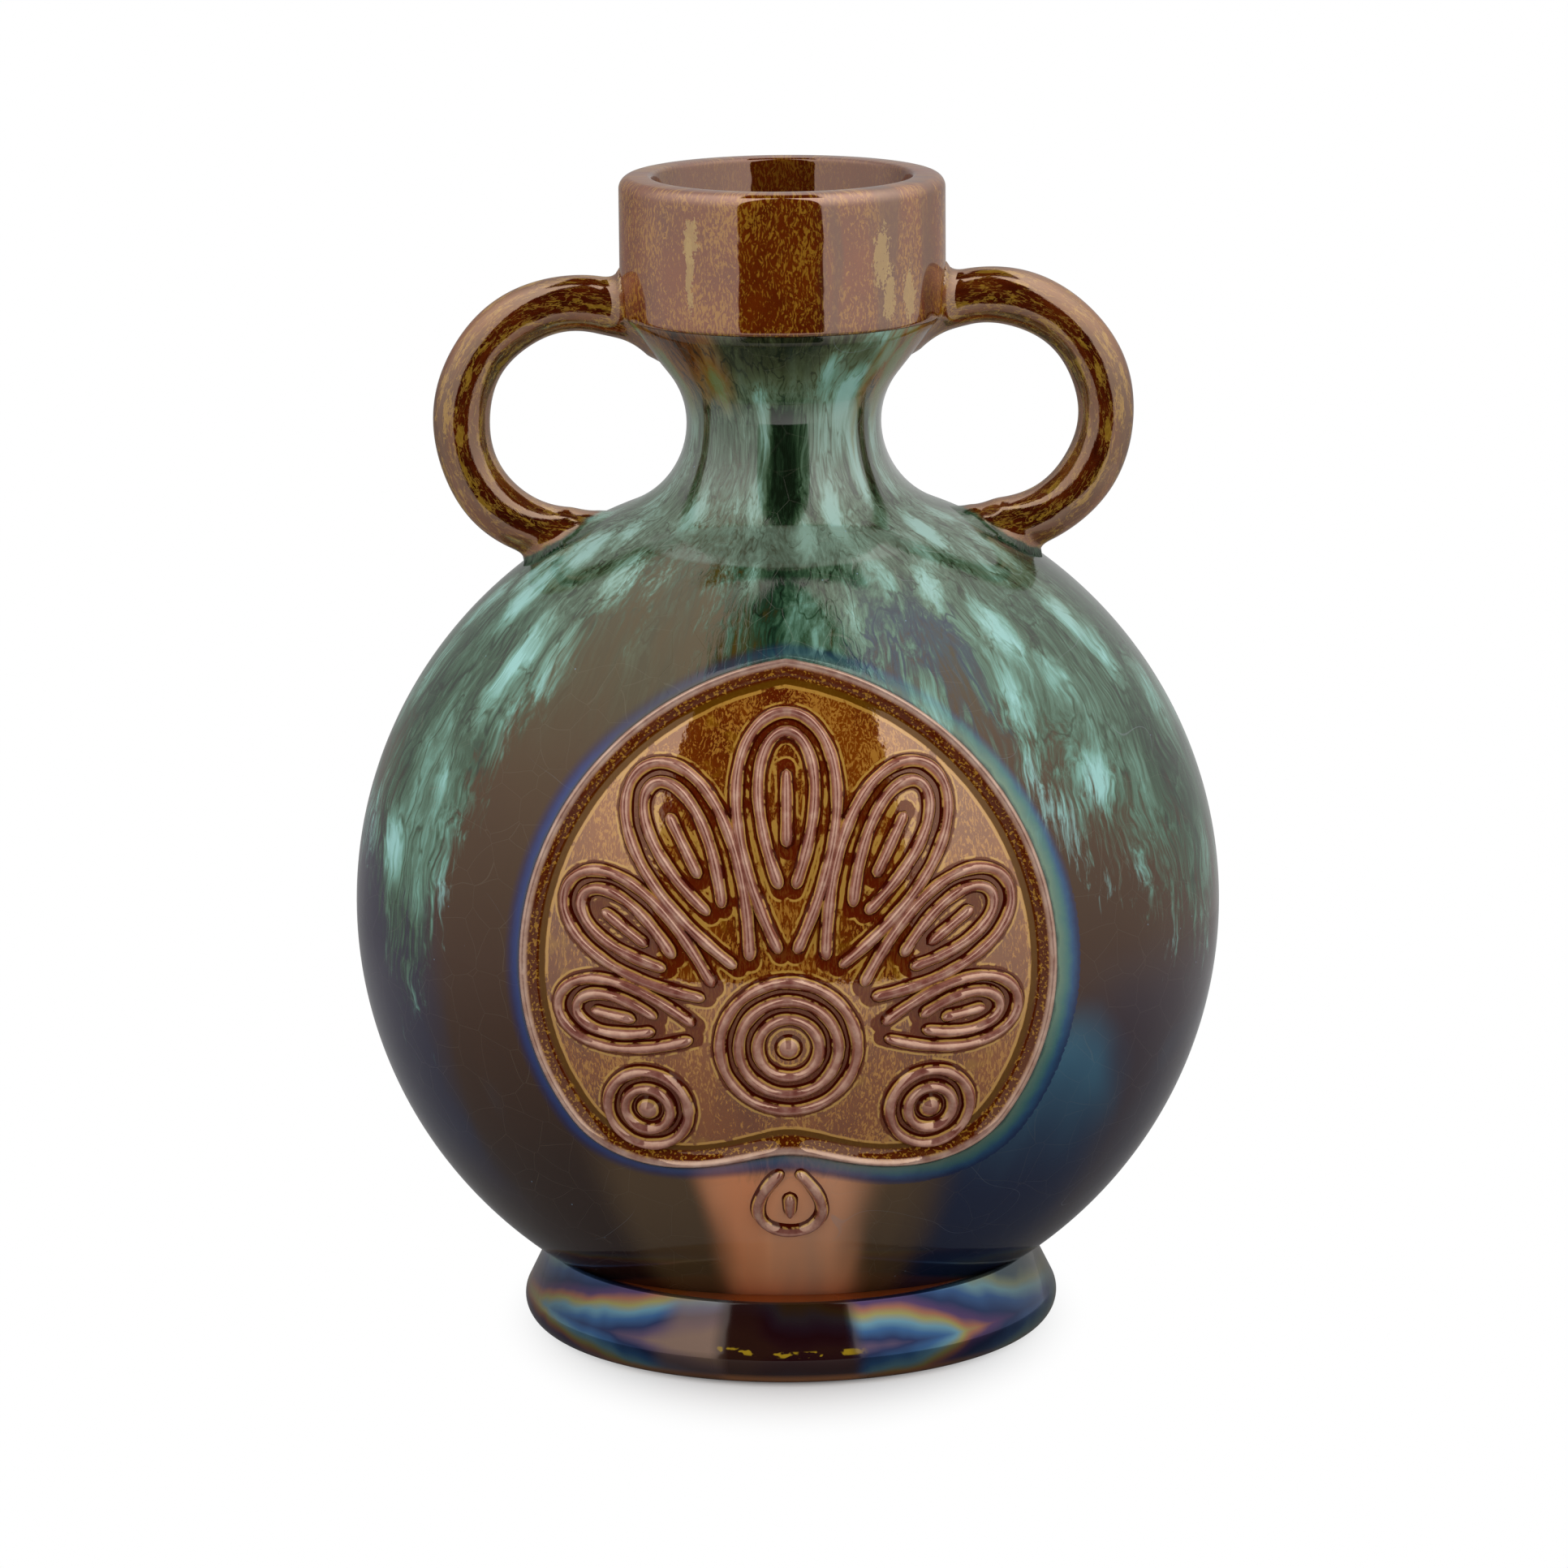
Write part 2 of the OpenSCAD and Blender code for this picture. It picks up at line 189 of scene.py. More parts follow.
def shoulder_fall(r, azimuth):
    """Slope of the shoulder at a radius, in the direction of an azimuth."""
    x, y = r * np.cos(azimuth), np.abs(r * np.sin(azimuth))
    s = slice_r(y)
    turn_in = np.where(y < MEET_Y, y / np.sqrt(np.maximum(EDGE_R**2 - y**2, 1)), (y + CROWN_OFF) / s)
    return (r * np.cos(azimuth) ** 2 + s * turn_in * np.abs(np.sin(azimuth))) / np.sqrt(s**2 - x**2)


def root_arc(azimuth):
    """Radius and end angle of the arc that leaves the waist upright and touches the shoulder."""
    low, high = np.full_like(azimuth, NECK_R), np.full_like(azimuth, HALF_DEPTH * 0.8)
    for _ in range(30):
        r = (low + high) / 2
        fall = shoulder_fall(r, azimuth)
        ground = shoulder_h(r * np.cos(azimuth), r * np.sin(azimuth))
        above = WAIST_H - ground > (r - NECK_R) * (np.hypot(1, fall) + fall)
        low, high = np.where(above, r, low), np.where(above, high, r)
    end = np.arctan2(1, shoulder_fall(low, azimuth))
    return (low - NECK_R) / (1 - np.cos(end)), end


FLARE_RUN = (FLARE_TOP_R - NECK_R - FLARE_R, COLLAR_H - WAIST_H)
FLARE_ANGLE = (
    math.pi - math.atan2(FLARE_RUN[1], FLARE_RUN[0]) - math.acos(FLARE_R / math.hypot(*FLARE_RUN))
)
THROAT_TOP = COLLAR_H - (MOUTH_R - THROAT_R) / math.tan(FLARE_ANGLE)


# ---- Meshes ----
def finish_mesh(name, bm, merge=2e-6):
    bmesh.ops.remove_doubles(bm, verts=bm.verts, dist=merge)
    bmesh.ops.recalc_face_normals(bm, faces=bm.faces)
    mesh = bpy.data.meshes.new(name)
    bm.to_mesh(mesh)
    bm.free()
    mesh.shade_smooth()
    obj = bpy.data.objects.new(name, mesh)
    bpy.context.scene.collection.objects.link(obj)
    return obj


def sheet_of(bm, across, along, place, keep=()):
    """A grid of cells, each vertex moved to place(u, v), with the values named in keep."""
    layers = [bm.verts.layers.float.get(key) or bm.verts.layers.float.new(key) for key in keep]
    made = bmesh.ops.create_grid(bm, x_segments=across, y_segments=along, size=0.5)["verts"]
    flat = np.array([v.co for v in made]).T
    points, *kept = place(flat[0] + 0.5, flat[1] + 0.5)
    for vert, point in zip(made, (points * MM).T):
        vert.co = point
    for layer, values in zip(layers, kept):
        for vert, value in zip(made, values):
            vert[layer] = value


def by_station(stations, t):
    """Position along a list of stations for t from 0 to 1."""
    return np.interp(t, np.linspace(0, 1, len(stations)), stations)


def turned(name, profile, columns=288, wobble=None):
    """A wheel-thrown ring: its closed profile of radius and height, spun about Z."""
    bm = bmesh.new()
    verts = [bm.verts.new((r * MM, 0, z * MM)) for r, z in profile]
    edges = [bm.edges.new((a, b)) for a, b in zip(verts, verts[1:] + verts[:1])]
    bmesh.ops.spin(
        bm,
        geom=verts + edges,
        cent=(0, 0, 0),
        axis=(0, 0, 1),
        angle=2 * math.pi,
        steps=columns,
        use_merge=True,
        use_duplicate=False,
    )
    if wobble:
        for v in bm.verts:
            v.co = wobble(v.co)
    return finish_mesh(name, bm)


def arc(middle, radius, start, stop, steps=8):
    a = np.radians(np.linspace(start, stop, steps + 1))
    return list(zip(middle[0] + radius * np.cos(a), middle[1] + radius * np.sin(a)))


def line(start, stop, steps):
    return list(zip(np.linspace(start[0], stop[0], steps + 1), np.linspace(start[1], stop[1], steps + 1)))


def vessel_rows():
    """Stations of the flask's skin from the underside's middle, up outside and down inside."""
    return (
        [("base", t) for t in np.linspace(0, 1, 4)[:-1]]
        + [("body", t) for t in np.linspace(0, 1, 119)[:-1]]
        + [("root", t) for t in np.linspace(0, 1, 17)[:-1]]
        + [("flare", t) for t in np.linspace(0, 1, 9)[:-1]]
        + [("cone", t) for t in np.linspace(0, 1, 6)]
        + [("bore", t) for t in np.linspace(0, 1, 5)]
        + [("cavity", t) for t in np.linspace(0, 1, 34)]
    )


def vessel_section(azimuth):
    """For each station, radius and height of the skin at the given azimuths."""
    ca, sa = np.cos(azimuth), np.sin(azimuth)
    low, high = np.zeros_like(ca), np.full_like(ca, 60.0)
    for _ in range(40):
        mid = (low + high) / 2
        under = BODY_MID - np.sqrt(np.maximum(slice_r(mid * sa) ** 2 - (mid * ca) ** 2, 0))
        inside = under < BASE_H
        low, high = np.where(inside, mid, low), np.where(inside, high, mid)
    flat_r = low
    start = np.arctan2(BASE_H - BODY_MID, flat_r)
    arc_r, arc_end = root_arc(azimuth)
    land_r = NECK_R + arc_r * (1 - np.cos(arc_end))
    land_z = WAIST_H - arc_r * np.sin(arc_end)
    stop = np.arctan2(land_z - BODY_MID, land_r)
    throat = np.arctan2(BODY_R - WALL - 1 + 0 * ca, THROAT_R)
    rows = []
    for part, t in vessel_rows():
        if part == "base":
            r, z = flat_r * t, np.full_like(ca, BASE_H)
        elif part == "body":
            p = body_point(azimuth, start + (stop - start) * t)
            r, z = np.hypot(p[0], p[1]), p[2]
        elif part == "root":
            a = arc_end * (1 - t)
            r = NECK_R + arc_r * (1 - np.cos(a))
            z = WAIST_H - arc_r * np.sin(a)
        elif part == "flare":
            a = FLARE_ANGLE * t
            r = NECK_R + FLARE_R * (1 - np.cos(a)) + 0 * ca
            z = WAIST_H + FLARE_R * np.sin(a) + 0 * ca
        elif part == "cone":
            first = (NECK_R + FLARE_R * (1 - math.cos(FLARE_ANGLE)), WAIST_H + FLARE_R * math.sin(FLARE_ANGLE))
            r = first[0] + (FLARE_TOP_R - first[0]) * t + 0 * ca
            z = first[1] + (COLLAR_H - first[1]) * t + 0 * ca
        elif part == "bore":
            r = MOUTH_R + (THROAT_R - MOUTH_R) * t + 0 * ca
            z = COLLAR_H + (THROAT_TOP - COLLAR_H) * t + 0 * ca
        else:
            p = body_point(azimuth, throat + (-math.pi / 2 - throat) * t, WALL)
            r, z = np.hypot(p[0], p[1]), np.maximum(p[2], BASE_H + WALL)
        rows.append((r, z))
    return rows


def vessel():
    """Body and neck in one skin, hollow, with the medallions' places pressed in."""
    columns = 360
    rows = vessel_rows()
    angles = np.linspace(0, 2 * math.pi, columns + 1)
    table = np.array(vessel_section(angles))
    outside = sum(1 for part, _ in rows if part in ("base", "body", "root", "flare", "cone"))

    def place(u, v):
        i = np.rint(u * columns).astype(int)
        j = np.rint(v * (len(rows) - 1)).astype(int)
        r, z = table[j, 0, i], table[j, 1, i]
        a = angles[i % columns]
        p = np.stack([r * np.cos(a), r * np.sin(a), z])
        for side in (-1, 1):
            pu, pv = pattern_of(p, side)
            s = np.hypot(pu, pv)
            o = s - edge_at(np.arctan2(pv, pu))
            face = (j < outside) & (p[1] * side > 20)
            dent = 2.4 * smooth(-o, -4.0, 1.0) * face
            k = (CROWN_R - dent) / CROWN_R
            middle = np.array([0, -CROWN_OFF * side, BODY_MID])[:, None]
            p = middle + (p - middle) * k
        return (p,)

    bm = bmesh.new()
    sheet_of(bm, columns, len(rows) - 1, place)
    return finish_mesh("body_and_neck_skin", bm)


def rim_height(o):
    """Height of the medallion's surface over the dome, across its edge: floor, wall, border."""
    floor = -RECESS * (1 - smooth(o, -1.3, 0.6))
    bead = 0.85 * hump(o, 0.85, 0.75)
    skirt = 0.03 * (1 - smooth(o, 4.6, 7.6)) - 0.012
    return floor + bead + skirt


def placed(points, angle, root=(0, -ROOT_DROP)):
    a = math.radians(angle)
    x, y = np.asarray(points, float).T
    return np.stack([root[0] + x * math.cos(a) - y * math.sin(a), root[1] + x * math.sin(a) + y * math.cos(a)]).T


def leaf_path(y0, y1, half, steps=110):
    leg = COIL_W / 2 + 0.35
    t0 = math.sqrt(2 * leg * 0.77 / half)
    t = np.linspace(t0, 2 * math.pi - t0, steps + 1)
    return np.stack([half / 0.77 * np.sin(t) * np.sin(t / 2), y0 + (y1 - y0) * np.sin(t / 2) ** 2]).T


def ring_path(middle, radius, steps=96):
    a = np.linspace(0, 2 * math.pi, steps + 1)[:-1]
    return np.stack([middle[0] + radius * np.cos(a), middle[1] + radius * np.sin(a)]).T


def relief_plan():
    """Every coil of one face by the piece it belongs to: path, closed, base under the dome."""
    plan = {}
    root = (0, -ROOT_DROP)
    outer = RING_FIRST + PITCH * (RING_COUNT - 1) + COIL_W / 2
    plan["palmette_root"] = [("boss", root)] + [
        ("ring", ring_path(root, RING_FIRST + PITCH * i)) for i in range(RING_COUNT)
    ]
    out = float(edge_at(math.radians(-45))) - ROSETTE_SPACE - COIL_W / 2 - ROSETTE_R
    for name, way in (("rosette_left", -1), ("rosette_right", 1)):
        middle = (way * out * math.sqrt(0.5), -out * math.sqrt(0.5))
        plan[name] = [("boss", middle)] + [("ring", ring_path(middle, r)) for r in (ROSETTE_R - PITCH, ROSETTE_R)]
    start = outer + 1.5
    for i in range(LEAF_COUNT):
        a = LEAF_STEP * ((LEAF_COUNT - 1) / 2 - i)
        c = ROOT_DROP * math.cos(math.radians(a))
        tip = TIP_R + TIP_RISE * math.cos(math.radians(a)) ** 4
        reach = c + math.sqrt(c * c - ROOT_DROP**2 + tip * tip)
        length = reach - start
        half = ((start + length * 2 / 3) * math.radians(LEAF_STEP) - COIL_W - 1.2) / 2
        rib = [(0, start + length * k) for k in np.linspace(0.46, 0.78, 17)]
        plan[f"leaf_{i + 1}"] = [
            ("strand", placed(leaf_path(start, reach, half), a)),
            ("strand", placed(leaf_path(start + length * 0.24, reach - COIL_W * 1.9, half * 0.56), a)),
            ("strand", placed(rib, a)),
        ]
    first = NOTCH_R + 1.2 + 2.4 - ROOT_DROP
    rib = [(0, first + PENDANT_LEN * k) for k in np.linspace(0.4, 0.79, 13)]
    plan["pendant"] = [
        ("outer", placed(leaf_path(first, first + PENDANT_LEN, PENDANT_HALF), 180)),
        ("outer", placed(rib, 180)),
    ]
    return plan


def coil(bm, path, closed, base, side):
    """A coil of clay pressed on the dome: rounded on top, with feet that run out into the ground."""
    n = len(path)
    before = np.roll(path, 1, axis=0) if closed else path[[0] + list(range(n - 1))]
    after = np.roll(path, -1, axis=0) if closed else path[list(range(1, n)) + [n - 1]]
    ahead = after - before
    ahead /= np.linalg.norm(ahead, axis=1)[:, None]
    across = np.stack([-ahead[:, 1], ahead[:, 0]]).T
    step = np.linalg.norm(np.diff(path, axis=0), axis=1)
    run = np.concatenate([[0], np.cumsum(step)])
    left = np.minimum(run, run[-1] - run)
    thin = np.ones(n) if closed else np.sqrt(np.clip(1 - (1 - np.clip(left / COIL_W, 0, 1)) ** 2, 0.0009, 1))
    cells = n if closed else n - 1
    slices = 14
    waver = 1 + 0.05 * np.sin(run * 0.9 + path[0][0]) + 0.04 * np.sin(run * 0.37 + path[0][1] * 2)

    def place(u, v):
        i = np.rint(u * cells).astype(int) % n
        t = v * 2 - 1
        width = COIL_W * 0.78 * thin[i] * waver[i]
        bell = np.cos(np.clip(t, -1, 1) * math.pi / 2) ** 1.25
        rise = COIL_H * bell * thin[i] * (0.6 + 0.4 * waver[i])
        p = path[i] + across[i] * (t * width)[:, None]
        return wrap(p[:, 0], p[:, 1], base + rise - 0.06, side), bell * thin[i]

    sheet_of(bm, cells, slices, place, ["rise"])


def boss(bm, middle, base, side):
    """A small round boss with a soft foot."""

    def place(u, v):
        a, t = u * 2 * math.pi, v
        bell = np.cos(t * math.pi / 2) ** 1.25
        r = BOSS_R * 1.3 * t
        x, y = middle[0] + r * np.cos(a), middle[1] + r * np.sin(a)
        return wrap(x, y, base + 1.5 * bell - 0.06, side), bell

    sheet_of(bm, 32, 12, place, ["rise"])


def relief(side, word):
    """The palmette, rosettes and pendant of one face, each its own piece."""
    made = []
    for name, parts in relief_plan().items():
        bm = bmesh.new()
        for kind, what in parts:
            base = 0.0 if kind == "outer" else -RECESS
            if kind == "boss":
                boss(bm, what, base, side)
            else:
                coil(bm, np.asarray(what, float), kind == "ring", base, side)
        obj = finish_mesh(f"{word}_{name}_clay", bm)
        made.append((obj, f"{word}_{name}"))
    return made


def medallion(side, word):
    """The sunk field with its groove and border, out to where it runs into the dome."""
    columns = 360
    inner = np.linspace(0, 1, 75)[:-1]
    across = np.concatenate([np.arange(-3.2, 3.4, 0.2), np.arange(3.4, 8.3, 0.6)])
    rows = len(inner) + len(across) - 1
    lines = np.concatenate(
        [np.asarray(what, float) for parts in relief_plan().values() for kind, what in parts if kind != "boss"]
    )

    def place(u, v):
        a = u * 2 * math.pi + math.pi / 2
        j = np.rint(v * rows).astype(int)
        e = edge_at(a)
        inside = j < len(inner)
        s = np.where(
            inside,
            inner[np.minimum(j, len(inner) - 1)] * (e - 3.2),
            e + across[np.clip(j - len(inner), 0, len(across) - 1)],
        )
        o = s - e
        x, y = s * np.cos(a), s * np.sin(a)
        near = np.full(len(x), 99.0)
        for k in range(0, len(x), 2000):
            d = np.hypot(x[k : k + 2000, None] - lines[:, 0], y[k : k + 2000, None] - lines[:, 1])
            near[k : k + 2000] = d.min(1)
        return wrap(x, y, rim_height(o), side), o, near

    bm = bmesh.new()
    sheet_of(bm, columns, rows, place, ["rim", "near"])
    return finish_mesh(f"{word}_medallion_field", bm)


# ---- Handles: a tube blended into the flask with a soft foot of clay ----
def profile_line():
    """The flask's outline at the handles, as radius and height."""
    a_r, a_end = (float(v) for v in root_arc(np.array(0.0)))
    a = np.linspace(a_end, 0, 24)
    root = np.stack([NECK_R + a_r * (1 - np.cos(a)), WAIST_H - a_r * np.sin(a)])
    a = np.linspace(0, FLARE_ANGLE, 16)
    flare = np.stack([NECK_R + FLARE_R * (1 - np.cos(a)), WAIST_H + FLARE_R * np.sin(a)])
    top = np.array([[FLARE_TOP_R, COLLAR_R, COLLAR_R], [COLLAR_H, COLLAR_H, RIM_H]])
    return np.concatenate([root, flare, top], axis=1)


OUTLINE = profile_line()


def off_oval(p):
    rad, depth = np.hypot(p[0], p[2] - BODY_MID), np.abs(p[1])
    on_crown = np.hypot(rad, depth + CROWN_OFF) - CROWN_R
    on_edge = np.hypot(rad - EDGE_OFF, depth) - EDGE_R
    return np.where((depth + CROWN_OFF) * EDGE_OFF > rad * CROWN_OFF, on_crown, on_edge)


def off_neck(p):
    r, z = np.hypot(p[0], p[1]), p[2]
    best = np.full(r.shape, 1e9)
    for k in range(OUTLINE.shape[1] - 1):
        a, b = OUTLINE[:, k], OUTLINE[:, k + 1]
        d = b - a
        t = np.clip(((r - a[0]) * d[0] + (z - a[1]) * d[1]) / max(d @ d, 1e-9), 0, 1)
        best = np.minimum(best, np.hypot(r - a[0] - d[0] * t, z - a[1] - d[1] * t))
    inside = r < np.interp(z, OUTLINE[1], OUTLINE[0], left=0, right=0)
    return np.where(inside, -best, best)


def off_flask(p):
    return np.minimum(off_oval(p), off_neck(p))


def blended(a, b, soft):
    h = np.maximum(soft - np.abs(a - b), 0) / soft
    return np.minimum(a, b) - h * h * soft / 4


def handle(way, name):
    """A rolled coil bent to a ring. Its ends run out in tails on the funnel and the shoulder."""
    soft = 3.2
    columns, rows = 84, 340
    first, last = math.radians(27), math.radians(301)
    middle = np.array([way * HANDLE_X, 0, HANDLE_H + (0.9 if way > 0 else 0.0)])

    def spine(a):
        ring = RING_R + 0.5 * hump(a, math.radians(225), 0.5) * (way < 0)
        return np.stack([middle[0] - way * ring * np.cos(a), 0 * a, middle[2] + ring * np.sin(a)])

    def tube_r(a):
        top = smooth(a, math.radians(29), math.radians(78))
        low = smooth(-a, -math.radians(294), -math.radians(262))
        grip = GRIP_R * (0.62 + 0.38 * top) * (0.5 + 0.5 * low) * (1 + 0.015 * np.sin(a * 7 + way))
        stays = smooth(a, first, math.radians(44)) * smooth(-a, -last, -math.radians(280))
        return stays * (grip + 1) - 1

    def off_tube(p):
        a = np.arctan2(p[2] - middle[2], -way * (p[0] - middle[0])) % (2 * math.pi)
        a = np.where(a > (last + first) / 2 + math.pi, first, np.clip(a, first, last))
        return np.linalg.norm(p - spine(a), axis=0) - tube_r(a)

    def gap(p):
        tube = off_tube(p)
        return blended(off_flask(p), tube, soft) + 0.16 * smooth(tube, 0.5 * soft, 0.85 * soft)

    def stops(p, dives):
        """Whether a point has left the clay, or gone under the flask's skin from outside."""
        return (gap(p) > 0) | (dives & (off_flask(p) < -0.2))

    def place(u, v):
        a = first + (last - first) * v
        turn = u * 2 * math.pi
        out = np.stack([-way * np.cos(a), 0 * a, np.sin(a)])
        n = out * np.cos(turn) + np.array([0, 1, 0])[:, None] * np.sin(turn)
        start = spine(a) + n * tube_r(a) * 0.98
        dives = off_flask(start) > -0.2
        reach = np.zeros(len(a))
        found = np.zeros(len(a), bool)
        last_t = np.zeros(len(a))
        for t in np.linspace(0.0, 10.0, 41)[1:]:
            outside = stops(start + n * t, dives)
            hit = outside & ~found
            low, high = np.full(len(a), last_t[0]), np.full(len(a), t)
            if hit.any():
                lo, hi = low[hit], high[hit]
                s, m, d = start[:, hit], n[:, hit], dives[hit]
                for _ in range(14):
                    mid = (lo + hi) / 2
                    is_out = stops(s + m * mid, d)
                    lo, hi = np.where(is_out, lo, mid), np.where(is_out, mid, hi)
                reach[hit] = lo
            found |= outside
            last_t[:] = t
        made = start + n * reach
        return made, off_tube(made)

    bm = bmesh.new()
    sheet_of(bm, columns, rows, place, ["skirt"])
    return finish_mesh(name, bm)


def collar_profile():
    """The collar's closed section: bore, rounded rim, outside and underside."""
    lip, edge, mouth_edge = 2.2, 0.9, 0.7
    inner = MOUTH_R + 0.1
    return (
        [(inner, COLLAR_H - 0.4)]
        + line((inner, COLLAR_H + 2), (inner, RIM_H - mouth_edge - 0.4), 10)
        + arc((inner + mouth_edge, RIM_H - mouth_edge), mouth_edge, 180, 90, 6)
        + arc((COLLAR_R - lip, RIM_H - lip), lip, 82, 0, 10)
        + line((COLLAR_R, RIM_H - lip - 1.5), (COLLAR_R, COLLAR_H + edge + 1), 10)
        + arc((COLLAR_R - edge, COLLAR_H + edge), edge, 0, -90, 6)
        + [(FLARE_TOP_R - 1.2, COLLAR_H - 0.02)]
    )


def foot_profile():
    """The foot's closed section: hollow, standing ring, rolled edge, flank and sunk ledge."""
    roll, lean, edge = 4.2, 22.0, 0.8
    c = (FOOT_R - roll, roll)
    t = math.radians(lean)
    tangent = (c[0] + roll * math.cos(t), c[1] + roll * math.sin(t))
    top_r = tangent[0] - (FOOT_H - tangent[1]) * math.tan(t)
    e = (top_r - edge / math.cos(t) - edge * math.tan(t), FOOT_H - edge)
    return (
        [(30.0, 2.2), (34.8, 2.2), (36.2, 0.9), (37.0, 0.15), (38.2, 0.0)]
        + arc(c, roll, -90, lean, 22)
        + arc(e, edge, lean, 125, 8)
        + line((e[0] - 1.3, FOOT_H - 0.8), (30.0, FOOT_H - 1.1), 6)
    )


# ---- Glazes ----
def paint(code):
    """A colour written as on a screen, turned linear."""
    parts = [int(code[i : i + 2], 16) / 255 for i in (1, 3, 5)]
    return tuple(c / 12.92 if c <= 0.04045 else ((c + 0.055) / 1.055) ** 2.4 for c in parts) + (1.0,)


class Value:
    """A node's output that takes part in sums."""

    def __init__(self, glaze, socket):
        self.glaze = glaze
        self.socket = socket

    def sum(self, operation, *terms):
        return self.glaze.node("ShaderNodeMath", {"operation": operation}, terms)

    def __add__(self, other):
        return self.sum("ADD", self, other)

    def __sub__(self, other):
        return self.sum("SUBTRACT", self, other)

    def __rsub__(self, other):
        return self.sum("SUBTRACT", other, self)

    def __mul__(self, other):
        return self.sum("MULTIPLY", self, other)

    def __truediv__(self, other):
        return self.sum("DIVIDE", self, other)

    def __rtruediv__(self, other):
        return self.sum("DIVIDE", other, self)

    def __pow__(self, other):
        return self.sum("POWER", self, other)

    def __abs__(self):
        return self.sum("ABSOLUTE", self)

    __radd__ = __add__
    __rmul__ = __mul__


class Glaze:
    """A material and the nodes it is mixed from. x, y and z are in millimetres."""

    def __init__(self, name):
        self.material = bpy.data.materials.new(name)
        self.material.use_nodes = True
        self.tree = self.material.node_tree
        self.tree.nodes.clear()
        place = self.node("ShaderNodeTexCoord", {}, {}, "Object")
        self.place = self.node("ShaderNodeVectorMath", {"operation": "SCALE"}, {0: place, "Scale": 1 / MM})
        split = self.node("ShaderNodeSeparateXYZ", {}, [self.place]).socket.node
        self.x, self.y, self.z = (Value(self, s) for s in split.outputs)
        self.radius = (self.x * self.x + self.y * self.y + 0.5) ** 0.5
        self.turn = self.x.sum("ARCTAN2", self.x, 0 - self.y) * (180 / math.pi)

    def node(self, kind, settings, inputs, output=0):
        made = self.tree.nodes.new(kind)
        for key, value in settings.items():
            if key == "stops":
                ramp = made.color_ramp
                while len(ramp.elements) < len(value):
                    ramp.elements.new(0.5)
                for element, (at, colour) in zip(ramp.elements, value):
                    element.position = at
                    element.color = colour
            else:
                setattr(made, key, value)
        for key, value in inputs.items() if isinstance(inputs, dict) else enumerate(inputs):
            if isinstance(value, Value):
                self.tree.links.new(value.socket, made.inputs[key])
            else:
                made.inputs[key].default_value = value
        return Value(self, made.outputs[output])

    def mix(self, share, a, b, blend="MIX"):
        a, b = (paint(c) if isinstance(c, str) else c for c in (a, b))
        settings = {"data_type": "RGBA", "blend_type": blend}
        return self.node("ShaderNodeMix", settings, {0: share, 6: a, 7: b}, 2)

    def step(self, value, low, high):
        """0 below low and 1 above high, eased between."""
        settings = {"interpolation_type": "SMOOTHSTEP"}
        return self.node("ShaderNodeMapRange", settings, {"Value": value, "From Min": low, "From Max": high})

    def band(self, value, low, high, soft):
        return self.step(value, low - soft, low) * (1 - self.step(value, high, high + soft))

    def ramp(self, value, *stops):
        return self.node("ShaderNodeValToRGB", {"stops": [(at, paint(c)) for at, c in stops]}, [value])

    def round_about(self, *stops):
        """A value given for azimuths in degrees from -180 to 180, eased between."""
        marks = [((at + 180) / 360, (v, v, v, 1.0)) for at, v in stops]
        colour = self.node("ShaderNodeValToRGB", {"stops": marks}, [(self.turn + 180) / 360])
        return self.node("ShaderNodeRGBToBW", {}, [colour])

    def noise(self, vector, scale, detail=3.0, rough=0.55, bend=0.0, output=0):
        inputs = {"Vector": vector, "Scale": scale, "Detail": detail, "Roughness": rough, "Distortion": bend}
        return self.node("ShaderNodeTexNoise", {}, inputs, output)

    def bent(self, vector, scale, amount, detail=2.0):
        """Coordinates pushed about by a slower pattern."""
        drift = self.noise(vector, scale, detail, output=1)
        centred = self.node("ShaderNodeVectorMath", {"operation": "SUBTRACT"}, [drift, (0.5, 0.5, 0.5)])
        settings = {"operation": "MULTIPLY_ADD"}
        return self.node("ShaderNodeVectorMath", settings, [centred, (amount,) * 3, vector])

    def drawn(self, vector, share):
        """Coordinates whose height counts less, which draws a pattern out downwards."""
        return self.node("ShaderNodeVectorMath", {"operation": "MULTIPLY"}, [vector, (1, 1, share)])

    def cells(self, vector, scale, feature="F1"):
        return self.node("ShaderNodeTexVoronoi", {"feature": feature}, {"Vector": vector, "Scale": scale})

    def hair(self, vector, scale, width, detail=1.0):
        """Thin wandering lines: 1 on a line."""
        return 1 - self.step(abs(self.noise(vector, scale, detail) - 0.5), 0.0, width)

    def vector(self, x, y, z):
        return self.node("ShaderNodeCombineXYZ", {}, [x, y, z])

    def attribute(self, name):
        return self.node("ShaderNodeAttribute", {"attribute_name": name}, {}, "Fac")

    def flow(self, stretch, about=60.0, narrowing=1.0):
        """Coordinates that run down the flask: round it, and along it shortened by stretch."""
        k = (about / self.radius) ** narrowing
        return self.vector(self.x * k, self.y * k, self.z / stretch)

    def spot(self, at, height, wide, tall, ragged):
        """A ragged patch round an azimuth in degrees and a height."""
        across, up = (self.turn - at) / wide, (self.z - height) / tall
        return 1 - self.step(across * across + up * up + ragged, 0.8, 1.1)

    def coat(self, colour, roughness, height, relief=0.1, metallic=0.0, ior=1.6, tint="#ffffff", film=0.0):
        """Glass-smooth glaze over the clay: colour, gloss, a faint ripple and a film of lustre."""
        normal = self.node("ShaderNodeBump", {}, {"Distance": relief * MM, "Height": height})
        inputs = {
            "Base Color": colour,
            "Roughness": roughness,
            "Metallic": metallic,
            "IOR": ior,
            "Specular Tint": paint(tint),
            "Normal": normal,
            "Coat Weight": film,
            "Coat IOR": 1.8,
        }
        return self.node("ShaderNodeBsdfPrincipled", {}, inputs)

